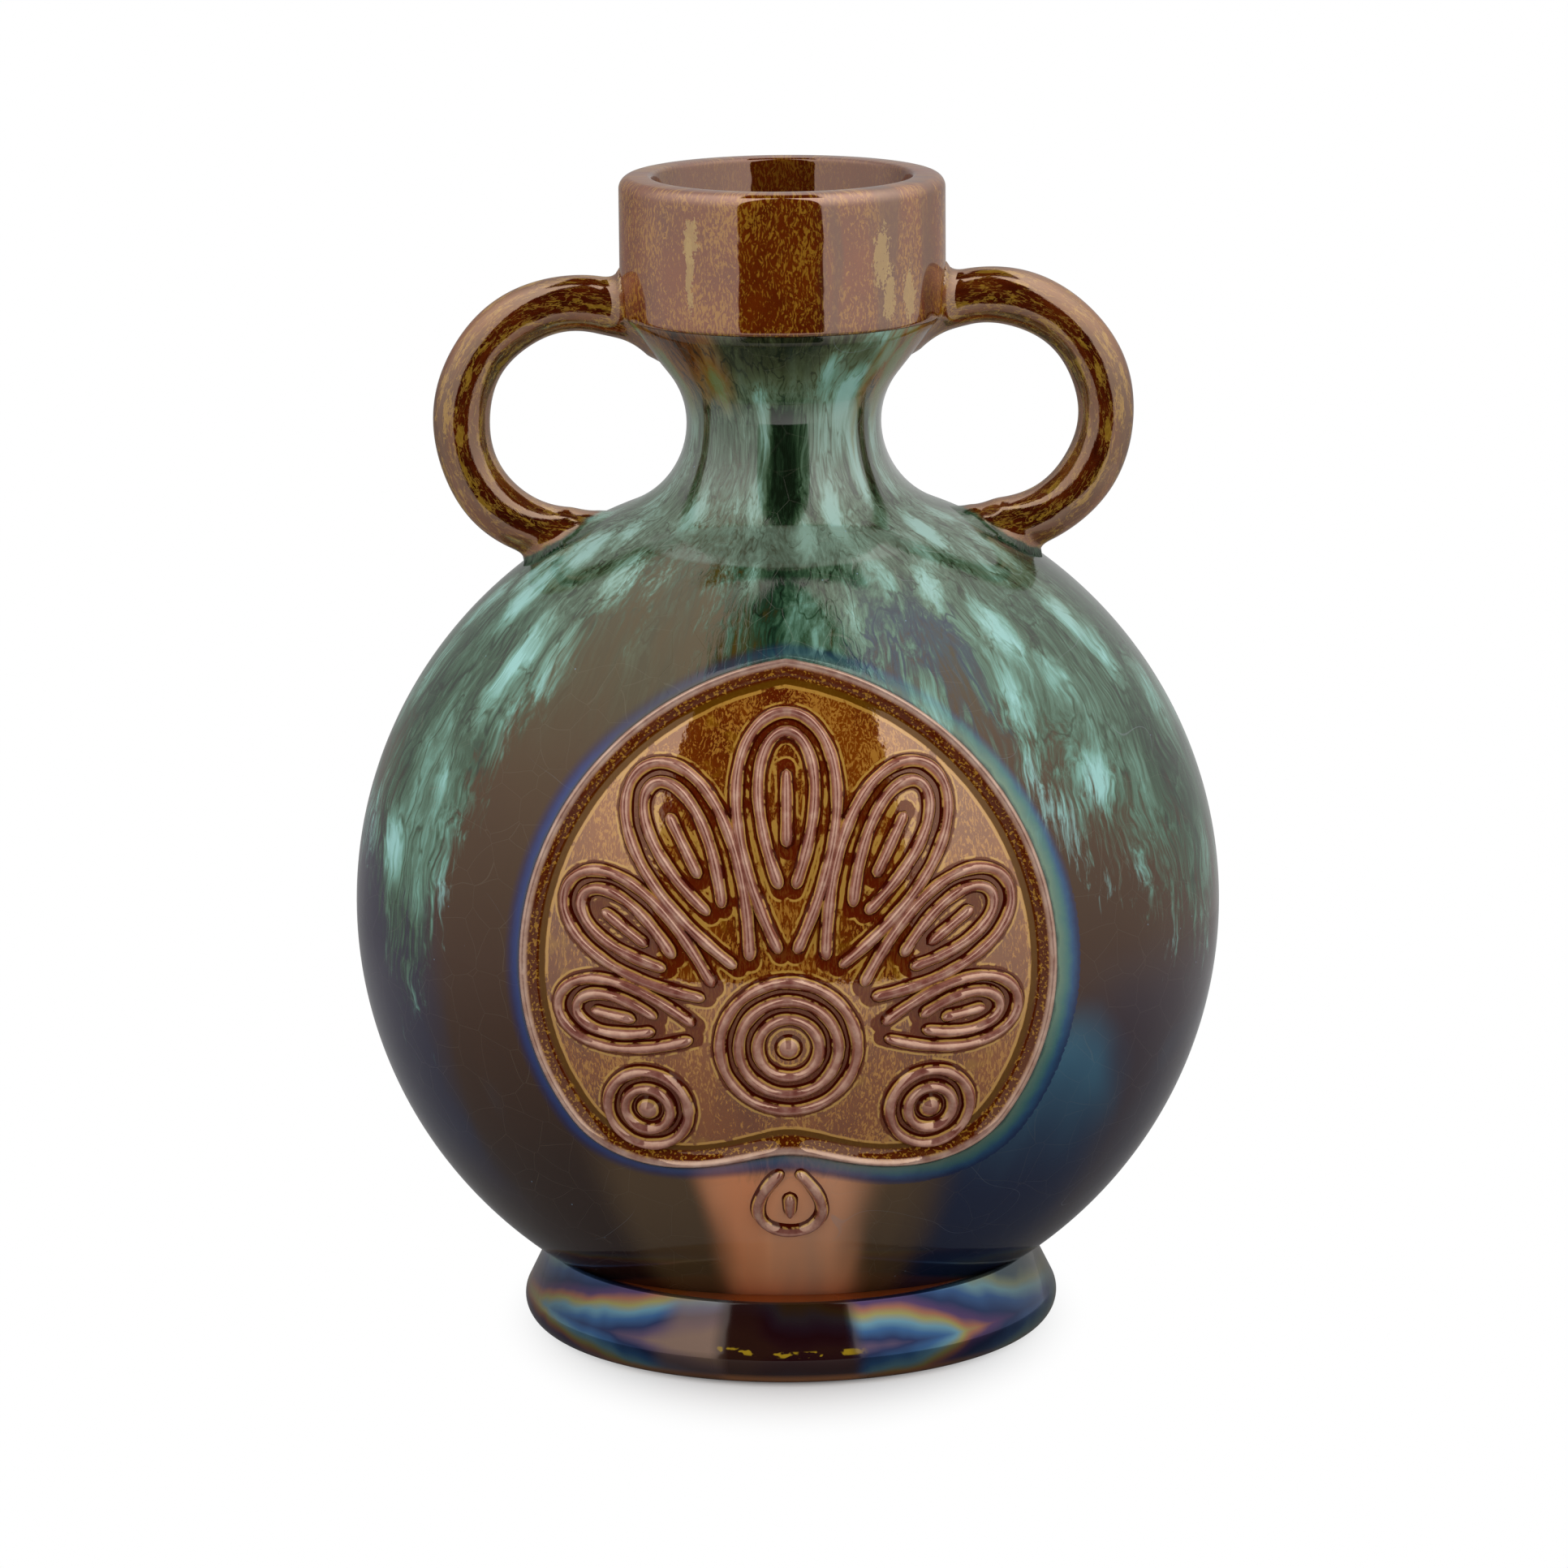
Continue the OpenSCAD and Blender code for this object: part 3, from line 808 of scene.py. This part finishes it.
    def fired(self, shader):
        output = self.tree.nodes.new("ShaderNodeOutputMaterial")
        self.tree.links.new(shader.socket, output.inputs["Surface"])
        return self.material


AMBER_IOR = 3.0
# Low IOR for the border groove and the coils' feet, where the glaze pools: it reflects less there, which is painted
# shade.
POOL_SHADE_IOR = 1.42
AMBER_SHEEN = "#ffdbbc"
BODY_SHEEN = "#fff6ee"


def dark_ground(g):
    """The dark glaze of the body: olive brown above, red brown below, blue where it broke."""
    cloud = g.noise(g.bent(g.flow(2.2), 0.02, 20.0), 0.03, 3)
    brown = g.ramp(
        g.z / 150 + (cloud - 0.5) * 0.3,
        (0.05, "#2a1610"),
        (0.25, "#2d1a11"),
        (0.5, "#412510"),
        (0.7, "#4a300f"),
        (0.9, "#4d4218"),
    )
    share = g.round_about(
        (-180, 0.45), (-120, 0.2), (-85, 0.3), (-62, 0.2), (-20, 0.04),
        (16, 0.04), (24, 0.5), (40, 0.64), (52, 0.54), (62, 0.2), (84, 0.44), (120, 0.2), (150, 0.5), (180, 0.45),
    )
    high = g.step(g.z + (cloud - 0.5) * 30, 52, 90)
    blue = g.step(share + (cloud - 0.5) * 1.1 - high * 0.8, 0.26, 0.68)
    violet = g.band(g.turn + (cloud - 0.5) * 30, -84, -63, 9) * g.band(g.z, 42, 84, 20)
    brown = g.mix(violet * 0.75, brown, "#1a2444")
    dusk = g.band(g.turn + (cloud - 0.5) * 30, 60, 100, 14) * g.band(g.z, 24, 62, 16)
    brown = g.mix(dusk * 0.55, brown, "#1c1b38")
    return brown, blue, cloud


def green_runs(g):
    """Milky green that ran down from the neck: where it lies, its colour and its thickness."""
    drift = g.bent(g.bent(g.flow(1.5, 50.0, 0.6), 0.05, 9.0, 2), 0.16, 3.0, 2)
    drawn = g.drawn(drift, 0.55)
    pool = g.cells(drawn, 0.13)
    slow = g.noise(drawn, 0.07, 2)
    vein = g.hair(g.drawn(drift, 0.16), 0.24, 0.03, 2.0)
    fibre = g.noise(g.drawn(drift, 0.09), 1.1, 4, 0.65)
    tone = g.round_about(
        (-180, 0.6), (-150, 0.7), (-120, 0.5), (-96, 0.5), (-82, 0.6), (-70, 0.8), (-60, 0.78),
        (-50, 0.6), (-38, 0.52), (-24, 0.5), (-16, 0.5), (-9, 0.7), (-4, 0.64), (1, 0.56), (5, 0.7),
        (12, 0.7), (17, 0.7), (24, 0.86), (30, 0.84), (36, 0.62), (43, 0.9), (50, 0.72), (58, 0.84),
        (66, 0.7), (78, 0.5), (92, 0.5), (120, 0.7), (150, 0.5), (180, 0.6),
    )
    core = 1 - g.step(pool, 0.02, 0.62)
    # The neck term is painted haze: paler green on the neck above 148 mm, except in a strip down the front.
    neck = g.step(g.z, 134, 148) * g.step(abs(g.turn + 1), 8, 20)
    thin = g.step(g.z + (fibre - 0.5) * 16, 166, 174) * 0.2 - neck * 0.16
    # Painted shade: a darker column down the front of neck and shoulder, where the glaze mirrors the dark gap in
    # front.
    front_shade_column = g.band(g.z, 147, 160, 5) * 0.7 + g.band(g.z, 112, 140, 6) * 0.3
    tone = tone * (1 - g.band(g.turn + (slow - 0.5) * 8, -5, 4, 5) * front_shade_column)
    # Painted shade: darker bands on the neck's front sides, at the edges of the reflected light.
    edges = g.band(abs(g.turn + 1), 50, 58, 5) * g.band(g.z, 148, 166, 5)
    tone = tone * (1 - edges * 0.5) + g.spot(-62, 94, 9, 15, (fibre - 0.5) * 2) * 0.22
    milk = tone * (0.5 + core * 0.74) + (slow - 0.5) * 0.5 + (fibre - 0.5) * 0.75 - vein * 0.16 - thin
    colour = g.ramp(
        milk,
        (0.06, "#101f14"),
        (0.22, "#1c3826"),
        (0.36, "#36563f"),
        (0.5, "#557a66"),
        (0.66, "#74a696"),
        (0.88, "#9dd3cd"),
    )
    sage = g.ramp(milk, (0.1, "#141c0c"), (0.3, "#2c3a20"), (0.5, "#5c6b50"), (0.75, "#93ab98"))
    high = g.step(g.z + (slow - 0.5) * 40, 122, 146)
    colour = g.mix(high * (0.55 - g.step(g.z, 158, 167) * 0.4), colour, sage)
    lowest = g.round_about(
        (-180, 0.6), (-155, 0.45), (-128, 0.7), (-104, 0.5), (-92, 0.6), (-80, 0.6), (-74, 0.52),
        (-68, 0.4), (-62, 0.42), (-58, 0.54), (-54, 0.66), (-50, 0.76), (-44, 0.84), (-36, 0.88),
        (-20, 0.88), (-15, 0.8), (0, 0.7), (14, 0.72), (20, 0.72), (32, 0.7), (36, 0.74), (42, 0.66),
        (50, 0.64), (58, 0.58), (68, 0.5), (76, 0.46), (84, 0.5), (100, 0.62), (136, 0.45), (160, 0.72),
        (180, 0.6),
    )
    ragged = (fibre - 0.5) * 60 + (slow - 0.5) * 20 - pool * 10
    there = g.step(g.z - lowest * 150 + ragged, -8, 16)
    parted = g.band(g.turn + (slow - 0.5) * 20, 20, 40, 5) * g.band(g.z, 96, 128, 10)
    colour = g.mix(parted * (1 - g.step(milk, 0.34, 0.5)) * 0.6, colour, "#22345c")
    return there, colour, milk


def crazing(g):
    """Fine craze lines: 1 on a line."""
    near = g.cells(g.bent(g.place, 0.05, 5.0), 0.15, "DISTANCE_TO_EDGE")
    return 1 - g.step(near, 0.002, 0.008)


def body_coat(g):
    """Colour, lustre and ripple of the body's glaze."""
    brown, blue, cloud = dark_ground(g)
    there, green, milk = green_runs(g)
    deep = g.ramp(cloud, (0.3, "#2b2440"), (0.5, "#30506e"), (0.7, "#487c94"))
    deep = g.mix(1 - g.step(g.z + (cloud - 0.5) * 20, 34, 66), deep, "#24304e")
    colour = g.mix(blue, brown, deep)
    veil = g.step(g.noise(g.bent(g.flow(5.0), 0.1, 9.0), 0.11, 4, 0.6), 0.46, 0.64) * g.step(g.z, 106, 130)
    colour = g.mix(veil * 0.5, colour, g.ramp(milk, (0.2, "#333a20"), (0.7, "#6a8468")))
    colour = g.mix(there, colour, green)
    front = g.band(g.turn + (cloud - 0.5) * 40, -22, 40, 10) * 0.8
    funnel = g.step(g.z + (milk - 0.4) * 14, 160, 168) * (1 - front)
    olive = g.ramp(milk, (0.05, "#2a1606"), (0.2, "#5e3004"), (0.4, "#865608"), (0.7, "#6c6c28"))
    colour = g.mix(funnel * 0.9, colour, olive)
    # Painted haze: a paler green band across the front of the shoulder under the neck, standing in for the reflection
    # there.
    painted_haze_band = g.spot(-1, 140.8, 50, 2.9, 0.0)
    colour = g.mix(painted_haze_band * 0.75, colour, g.ramp(milk, (0.15, "#525a4a"), (0.7, "#86a090")))
    # The low front centre: a copper amber run, lightened with painted reflection of the white table.
    amber_run_and_sheen = g.band(g.turn + (cloud - 0.5) * 26, -14, 10, 10) * (1 - g.step(g.z + (milk - 0.5) * 10, 36, 46))
    warm = g.ramp(cloud, (0.3, "#e08c5c"), (0.5, "#eea274"), (0.7, "#cc9878"))
    low_run_and_sheen = g.band(g.turn, -30, 24, 10) * (1 - g.step(g.z, 36, 52)) * 0.75
    colour = g.mix(low_run_and_sheen, colour, "#604a30")
    colour = g.mix(amber_run_and_sheen * 0.92, colour, warm)
    craze = crazing(g)
    colour = g.mix(craze * 0.08, colour, "#a39c88")
    scratch = g.hair(g.bent(g.place, 0.01, 60.0), 0.035, 0.0012) * g.step(g.noise(g.place, 0.02), 0.5, 0.56)
    colour = g.mix(scratch * 0.3, colour, "#8f98a0")
    specks = (1 - g.step(g.cells(g.place, 0.3), 0.02, 0.055)) * g.step(g.noise(g.place, 0.05, 1), 0.54, 0.62)
    colour = g.mix(specks * 0.5, colour, "#8fb2cc")
    lustre = blue * (1 - there) * 0.5
    height = g.noise(g.place, 0.05, 2) * 1.6 + milk * there * 0.2 - craze * 0.06
    return colour, lustre, height, g.band(g.z, 152, 160, 9)


def amber_coat(g, path, dark="#521602", warm="#702b03", fleck="#b28226"):
    """Brown amber glaze with a fine net of golden flecks, as colour and ripple."""
    slow = g.noise(g.bent(path, 0.06, 9.0), 0.09, 3)
    colour = g.ramp(slow, (0.34, dark), (0.62, warm))
    dense = g.noise(path, 0.11, 3)
    dash = g.noise(g.drawn(g.bent(path, 0.3, 2.5), 0.5), 2.9, 3, 0.6)
    colour = g.mix(g.step(dash + (dense - 0.5) * 0.4, 0.49, 0.62) * 0.7, colour, fleck)
    return colour, slow


def skin_glaze():
    g = Glaze("runny_green_and_brown_glaze")
    colour, lustre, height, film = body_coat(g)
    return g.fired(g.coat(colour, 0.06, height, 0.12, lustre, 1.6, BODY_SHEEN, film))


def medallion_glaze():
    g = Glaze("medallion_amber_glaze")
    rim, near = g.attribute("rim"), g.attribute("near")
    outside, lustre, height, film = body_coat(g)
    grain = g.vector(g.x, g.y, g.z / 2.2)
    amber, slow = amber_coat(g, grain, "#621c02", "#843e05", "#cc9038")
    patch = g.noise(g.place, 0.35, 3)
    # Glaze pooled darker round the coils; this mask also gives the low-IOR coat below, which is painted shade.
    pooled_and_shaded = 1 - g.step(near + (patch - 0.5) * 0.6, 1.6, 1.9)
    amber = g.mix(pooled_and_shaded * 0.85, amber, "#5c1604")
    seam = g.band(near + (patch - 0.5) * 0.6, 1.75, 2.0, 0.15) * g.step(patch, 0.42, 0.5)
    amber = g.mix(seam * 0.9, amber, "#d0a048")
    gold = g.step(g.noise(g.place, 0.13, 3), 0.6, 0.7) * g.step(near, 1.2, 2.2)
    amber = g.mix(gold * 0.5, amber, "#a87810")
    groove = g.band(rim, -2.3, 0.0, 0.3)
    grit = g.step(g.noise(g.place, 1.9, 2), 0.54, 0.62) * g.step(rim + (patch - 0.5) * 1.6, -1.3, -1.0)
    wall = g.mix(g.step(rim, -1.5, -0.9), "#603c06", "#541a03")
    amber = g.mix(groove * 0.95, amber, g.mix(grit * 0.8, wall, "#b8862c"))
    line = g.band(rim + (patch - 0.5) * 0.5, -2.9, -2.5, 0.2) * g.step(patch, 0.38, 0.46)
    amber = g.mix(line * 0.85, amber, "#d09c44")
    # Painted highlight: the border's lip is coloured a light mauve for the haze its rounded crest reflects.
    lip = g.step(rim, 0.0, 0.4)
    amber = g.mix(lip * 0.92, amber, g.ramp(patch, (0.35, "#9c7468"), (0.65, "#c4a496")))
    side = g.step(g.x, -30, 40)
    low = 1 - g.step(g.z, 70, 110)
    halo = g.step(rim, 1.3, 1.9) * (1 - g.step(rim - side * (0.8 + low * 2.2), 3.0, 5.0))
    across = (rim - 1.4) / (2.6 + side * 2.2) + (patch - 0.5) * 0.3
    blue_edge = g.ramp(across, (0.1, "#2c5070"), (0.4, "#26509a"), (0.9, "#20306a"))
    teal_edge = g.ramp(
        across,
        (0.02, "#274844"),
        (0.2, "#7a9a84"),
        (0.5, "#568884"),
        (0.75, "#38648c"),
        (1.0, "#2a3c66"),
    )
    sheen = g.mix(side, blue_edge, teal_edge)
    top = g.step(g.z, 104, 118)
    outside = g.mix(halo * (0.6 + side * 0.25 - top * 0.35), outside, sheen)
    ripple = slow * 0.8 + patch * 0.3
    thin = g.coat(amber, 0.045, ripple, 0.1, 0.0, AMBER_IOR, AMBER_SHEEN)
    # The low-IOR coat reflects less: painted shade in the groove and round the coils.
    shaded_pool_coat = g.coat(amber, 0.045, ripple, 0.1, 0.0, POOL_SHADE_IOR, AMBER_SHEEN)
    deep = 1 - (1 - groove * 0.9) * (1 - pooled_and_shaded * 0.7)
    inner = g.node("ShaderNodeMixShader", {}, [deep, thin, shaded_pool_coat])
    outer = g.coat(outside, 0.06, height, 0.12, lustre + halo * 0.3, 1.6, BODY_SHEEN, film)
    edge = g.step(rim + (patch - 0.5) * 0.4, 1.25, 1.6)
    return g.fired(g.node("ShaderNodeMixShader", {}, [edge, inner, outer]))


def relief_glaze():
    g = Glaze("relief_coil_glaze")
    rise = g.attribute("rise")
    patch = g.noise(g.place, 0.35, 3, 0.6)
    # Painted sheen: the coils' crests are coloured a light pinkish mauve for the haze they reflect.
    ridge_sheen = g.ramp(patch, (0.34, "#84493f"), (0.5, "#9e665a"), (0.66, "#bb8e7c"))
    edge = rise + (patch - 0.5) * 0.2
    # The coils' feet are dark red: pooled glaze, with painted shade from the low-IOR coat they take below.
    colour = g.mix(g.step(edge, 0.4, 0.54), "#480d02", ridge_sheen)
    seam = g.band(edge, 0.36, 0.48, 0.09) * g.step(patch, 0.38, 0.48)
    colour = g.mix(seam * 0.9, colour, "#dcae5c")
    thin = g.coat(colour, 0.08, patch, 0.05, 0.0, AMBER_IOR, AMBER_SHEEN)
    shaded_pool_coat = g.coat(colour, 0.08, patch, 0.05, 0.0, POOL_SHADE_IOR, AMBER_SHEEN)
    return g.fired(g.node("ShaderNodeMixShader", {}, [g.step(edge, 0.3, 0.5), shaded_pool_coat, thin]))


def collar_glaze():
    g = Glaze("collar_amber_glaze")
    path = g.flow(1.5, 27.0)
    colour, slow = amber_coat(g, path)
    shade = g.band(g.turn + (slow - 0.5) * 16, 20, 62, 12) * g.step(g.noise(g.flow(6.0, 27.0), 0.12), 0.46, 0.58)
    colour = g.mix(shade * 0.7, colour, "#3a2620")
    ragged = (g.noise(g.flow(2.0, 27.0), 0.8, 4, 0.65) - 0.5) * 4.6 + (g.noise(path, 2.6, 2) - 0.5) * 3
    for spot in ((-33, 192, 3.5, 3.4), (-34, 186, 1.5, 6), (37, 189, 3.6, 5), (40, 182, 2.4, 5), (50, 182, 3.4, 4)):
        colour = g.mix(g.spot(*spot, ragged) * 0.7, colour, "#b49a58")
    # Painted shade inside the mouth: the bore's wall is darkened.
    inside = 1 - g.step(g.radius, MOUTH_R + 0.2, MOUTH_R + 1.2)
    colour = g.mix(inside * 0.6, colour, "#4a1803")
    flared = (1 - g.step(g.radius, MOUTH_R + 0.4, MOUTH_R + 0.7)) * (RIM_H - g.z) * 2.6
    height = slow + flared
    outer = g.coat(colour, 0.04, height, 0.12, 0.0, 3.3, "#ffd9c4")
    # The inner wall's coat has a lower IOR, so it reflects less: painted shade too.
    inner = g.coat(colour, 0.04, height, 0.12, 0.0, 2.4, "#ffd9c4")
    return g.fired(g.node("ShaderNodeMixShader", {}, [inside, outer, inner]))


def handle_glaze():
    g = Glaze("handle_brown_glaze")
    across = abs(g.x) - HANDLE_X
    up = g.z - HANDLE_H
    out = (across * across + up * up + 0.01) ** 0.5
    along = across.sum("ARCTAN2", up, across) * RING_R
    path = g.vector(along / 3.4, out, g.y)
    slow = g.noise(g.bent(path, 0.15, 3.0), 0.22, 3)
    colour = g.ramp(slow, (0.36, "#3e0e02"), (0.52, "#5a1e04"), (0.68, "#763a08"))
    streak = g.noise(g.bent(path, 0.3, 2.0), 0.5, 5, 0.72)
    colour = g.mix(g.step(streak, 0.56, 0.6) * 0.75, colour, "#a27c26")
    net = g.hair(g.bent(path, 0.5, 1.5), 1.3, 0.05, 2.0) * g.step(streak, 0.42, 0.52)
    colour = g.mix(net * 0.5, colour, "#b98f38")
    coil = g.coat(colour, 0.06, slow + streak * 0.3, 0.1, 0.0, AMBER_IOR, AMBER_SHEEN)
    ground, lustre, height, film = body_coat(g)
    body = g.coat(ground, 0.06, height, 0.12, lustre, 1.6, BODY_SHEEN, film)
    run_out = g.attribute("skirt") + (streak - 0.5) * 1.2
    foot = g.step(run_out, 0.3, 0.9) * (1 - g.step(g.z, 168, 173))
    return g.fired(g.node("ShaderNodeMixShader", {}, [foot, coil, body]))


def foot_glaze():
    g = Glaze("lustrous_foot_glaze")
    side = abs(g.turn)
    wave = g.noise(g.bent(g.flow(1.0, 46.0), 0.05, 10.0), 0.035, 3)
    film = abs(g.z - 6.5) * 0.055 + g.step(side, 12, 80) * 0.5 + (wave - 0.5) * 0.7 + g.band(g.turn, 20, 90, 16) * 0.12
    bands = g.ramp(
        film,
        (0.04, "#7c6458"),
        (0.12, "#54445a"),
        (0.19, "#1c2a50"),
        (0.27, "#2f5680"),
        (0.34, "#5c8494"),
        (0.41, "#8a8450"),
        (0.47, "#8c5c48"),
        (0.53, "#4a3458"),
        (0.62, "#1b2c50"),
        (0.74, "#2c4c74"),
        (0.84, "#5f7f86"),
        (0.92, "#6c7460"),
        (1.0, "#3c4c54"),
    )
    # Painted reflection: a brownish haze patch on the foot's left front.
    foot_reflection = g.band(g.turn + (wave - 0.5) * 20, -27, -12, 6)
    bands = g.mix(foot_reflection * 0.6, bands, "#7a6254")
    # Painted reflection: the foot's front strip is dark red brown and without lustre, where it mirrors the dark gap in
    # front.
    front = 1 - g.step(side + (wave - 0.5) * 8, 12, 17)
    colour = g.mix(front * 0.94, bands, "#260802")
    dash = g.band(g.z + (wave - 0.5) * 2, 5.6, 6.3, 0.3) * g.step(g.noise(g.flow(0.5, 46.0), 0.35, 2), 0.54, 0.6)
    colour = g.mix(dash * front * 0.9, colour, "#b09020")
    hem = (1 - g.step(g.z, 0.9, 2.4)) * (1 - g.step(side, 30, 60))
    colour = g.mix(hem * 0.8, colour, "#b0703c")
    ledge = g.step(g.z, FOOT_H - 1.6, FOOT_H - 1.0) * (1 - g.step(g.radius, FOOT_R - 8.0, FOOT_R - 6.8))
    colour = g.mix(ledge * 0.9, colour, "#9c4a10")
    lustre = (1 - front) * (1 - ledge) * 0.75
    return g.fired(g.coat(colour, 0.07, wave, 0.14, lustre, 1.6, BODY_SHEEN))


def dress():
    """Every finished piece, with the CAD nodes it stands for, its material slot and its glaze."""
    skin, medal, coils = skin_glaze(), medallion_glaze(), relief_glaze()
    pieces = [
        (vessel(), ["body_front_half", "body_back_half", "neck"], "body_glaze", skin),
        (turned("mouth_collar_clay", collar_profile()), ["mouth_collar"], "collar_glaze", collar_glaze()),
        (turned("foot_ring_clay", foot_profile()), ["foot_ring"], "foot_glaze", foot_glaze()),
    ]
    brown = handle_glaze()
    for way, word in ((-1, "left"), (1, "right")):
        node = f"handle_{word}"
        pieces.append((handle(way, f"{node}_clay"), [node], "handle_glaze", brown))
    for side, word in ((-1, "front"), (1, "back")):
        pieces.append((medallion(side, word), [f"{word}_border"], "relief_glaze", medal))
        for obj, node in relief(side, word):
            pieces.append((obj, [node], "relief_glaze", coils))
    for obj, nodes, slot, material in pieces:
        obj.data.materials.append(material)
        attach(obj, "root")
        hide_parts(*nodes)


# ---- Studio ----
TABLE_R = 0.34
SLIT = (-31.0, 29.0)


def table():
    """A round table that fades to white for the camera and keeps the flask's soft shadow."""
    bm = bmesh.new()
    bmesh.ops.create_circle(bm, cap_ends=True, segments=96, radius=TABLE_R)
    obj = finish_mesh("studio_table", bm)
    g = Glaze("studio_white")
    seen = g.node("ShaderNodeLightPath", {}, {}, "Is Camera Ray")
    # For rays other than the camera's the table is grey, with painted shadow darker within 80 mm of the flask, and
    # painted light lighter to the right and darker towards the back.
    painted_falloff = g.step(g.x, -150, 150) * 0.14 - g.step(g.y, -50, 250) * 0.2 + 0.48
    shade = g.step(g.radius, 80, 320) * (painted_falloff - 0.3) + 0.3
    far = g.node("ShaderNodeCombineColor", {}, [shade, shade, shade])
    grey = g.mix(seen, far, (0.95, 0.95, 0.95, 1))
    plain = g.node("ShaderNodeBsdfDiffuse", {}, {"Color": grey})
    white = g.node("ShaderNodeEmission", {}, {"Color": (1, 1, 1, 1), "Strength": 1.0})
    reach = (g.x * g.x * 2.1 + g.y * g.y) ** 0.5
    mixed = g.node("ShaderNodeMixShader", {}, [seen * g.step(reach, 34, 76), plain, white])
    g.fired(mixed)
    obj.data.materials.append(g.material)


def studio_air():
    """Even light, seen in the glaze as a tent that is brighter above, with a dark slit in front.

    The slit runs up and a little way over the top."""
    world = bpy.data.worlds.new("studio_air")
    bpy.context.scene.world = world
    world.use_nodes = True
    g = Glaze.__new__(Glaze)
    g.tree = world.node_tree
    g.tree.nodes.clear()
    way = g.node("ShaderNodeTexCoord", {}, {}, "Generated")
    split = g.node("ShaderNodeSeparateXYZ", {}, [way]).socket.node
    x, y, up = (Value(g, s) for s in split.outputs)
    turn = x.sum("ARCTAN2", x, 0 - y) * (180 / math.pi)
    slit = g.step(turn, SLIT[0] - 0.4, SLIT[0] + 0.4) * (1 - g.step(turn, SLIT[1] - 0.4, SLIT[1] + 0.4))
    overhead = g.step(up, 0.7, 0.76) * g.step(y, -0.06, 0.0) * (1 - g.step(abs(x) + y * 0.29, 0.25, 0.28))
    slit = 1 - (1 - slit) * (1 - overhead)
    rise = x.sum("MAXIMUM", up + 0.5, 0.0) / 1.5
    right = g.step(x, -0.3, 0.3)
    side = 1 + right * 0.2 - g.step(y, 0.1, 0.8) * (0.45 - right * 0.15)
    tent = (0.45 + rise**1.6 * 1.05) * side * (1 - slit) + 0.002
    camera_ray = g.node("ShaderNodeLightPath", {}, {}, "Is Camera Ray")
    glossy_ray = g.node("ShaderNodeLightPath", {}, {}, "Is Glossy Ray")
    plain = 0.85 + up * 0.25
    strength = camera_ray + (1 - camera_ray) * (plain + glossy_ray * (tent - plain))
    air = g.node("ShaderNodeBackground", {}, {"Color": (1, 1, 1, 1), "Strength": strength})
    output = g.tree.nodes.new("ShaderNodeOutputWorld")
    g.tree.links.new(air.socket, output.inputs["Surface"])


def studio():
    bpy.context.scene.view_settings.view_transform = "Standard"
    table()
    studio_air()


def camera():
    data = bpy.data.cameras.new("photo_camera")
    obj = bpy.data.objects.new("photo_camera", data)
    bpy.context.scene.collection.objects.link(obj)
    data.sensor_width = 36.0
    data.lens = 164.0
    data.clip_start, data.clip_end = 0.1, 20
    obj.location = (0.00165, -1.203, 0.356)
    obj.rotation_euler = (math.radians(90 - 12.27), math.radians(0.47), 0)
    bpy.context.scene.camera = obj


dress()
studio()
camera()
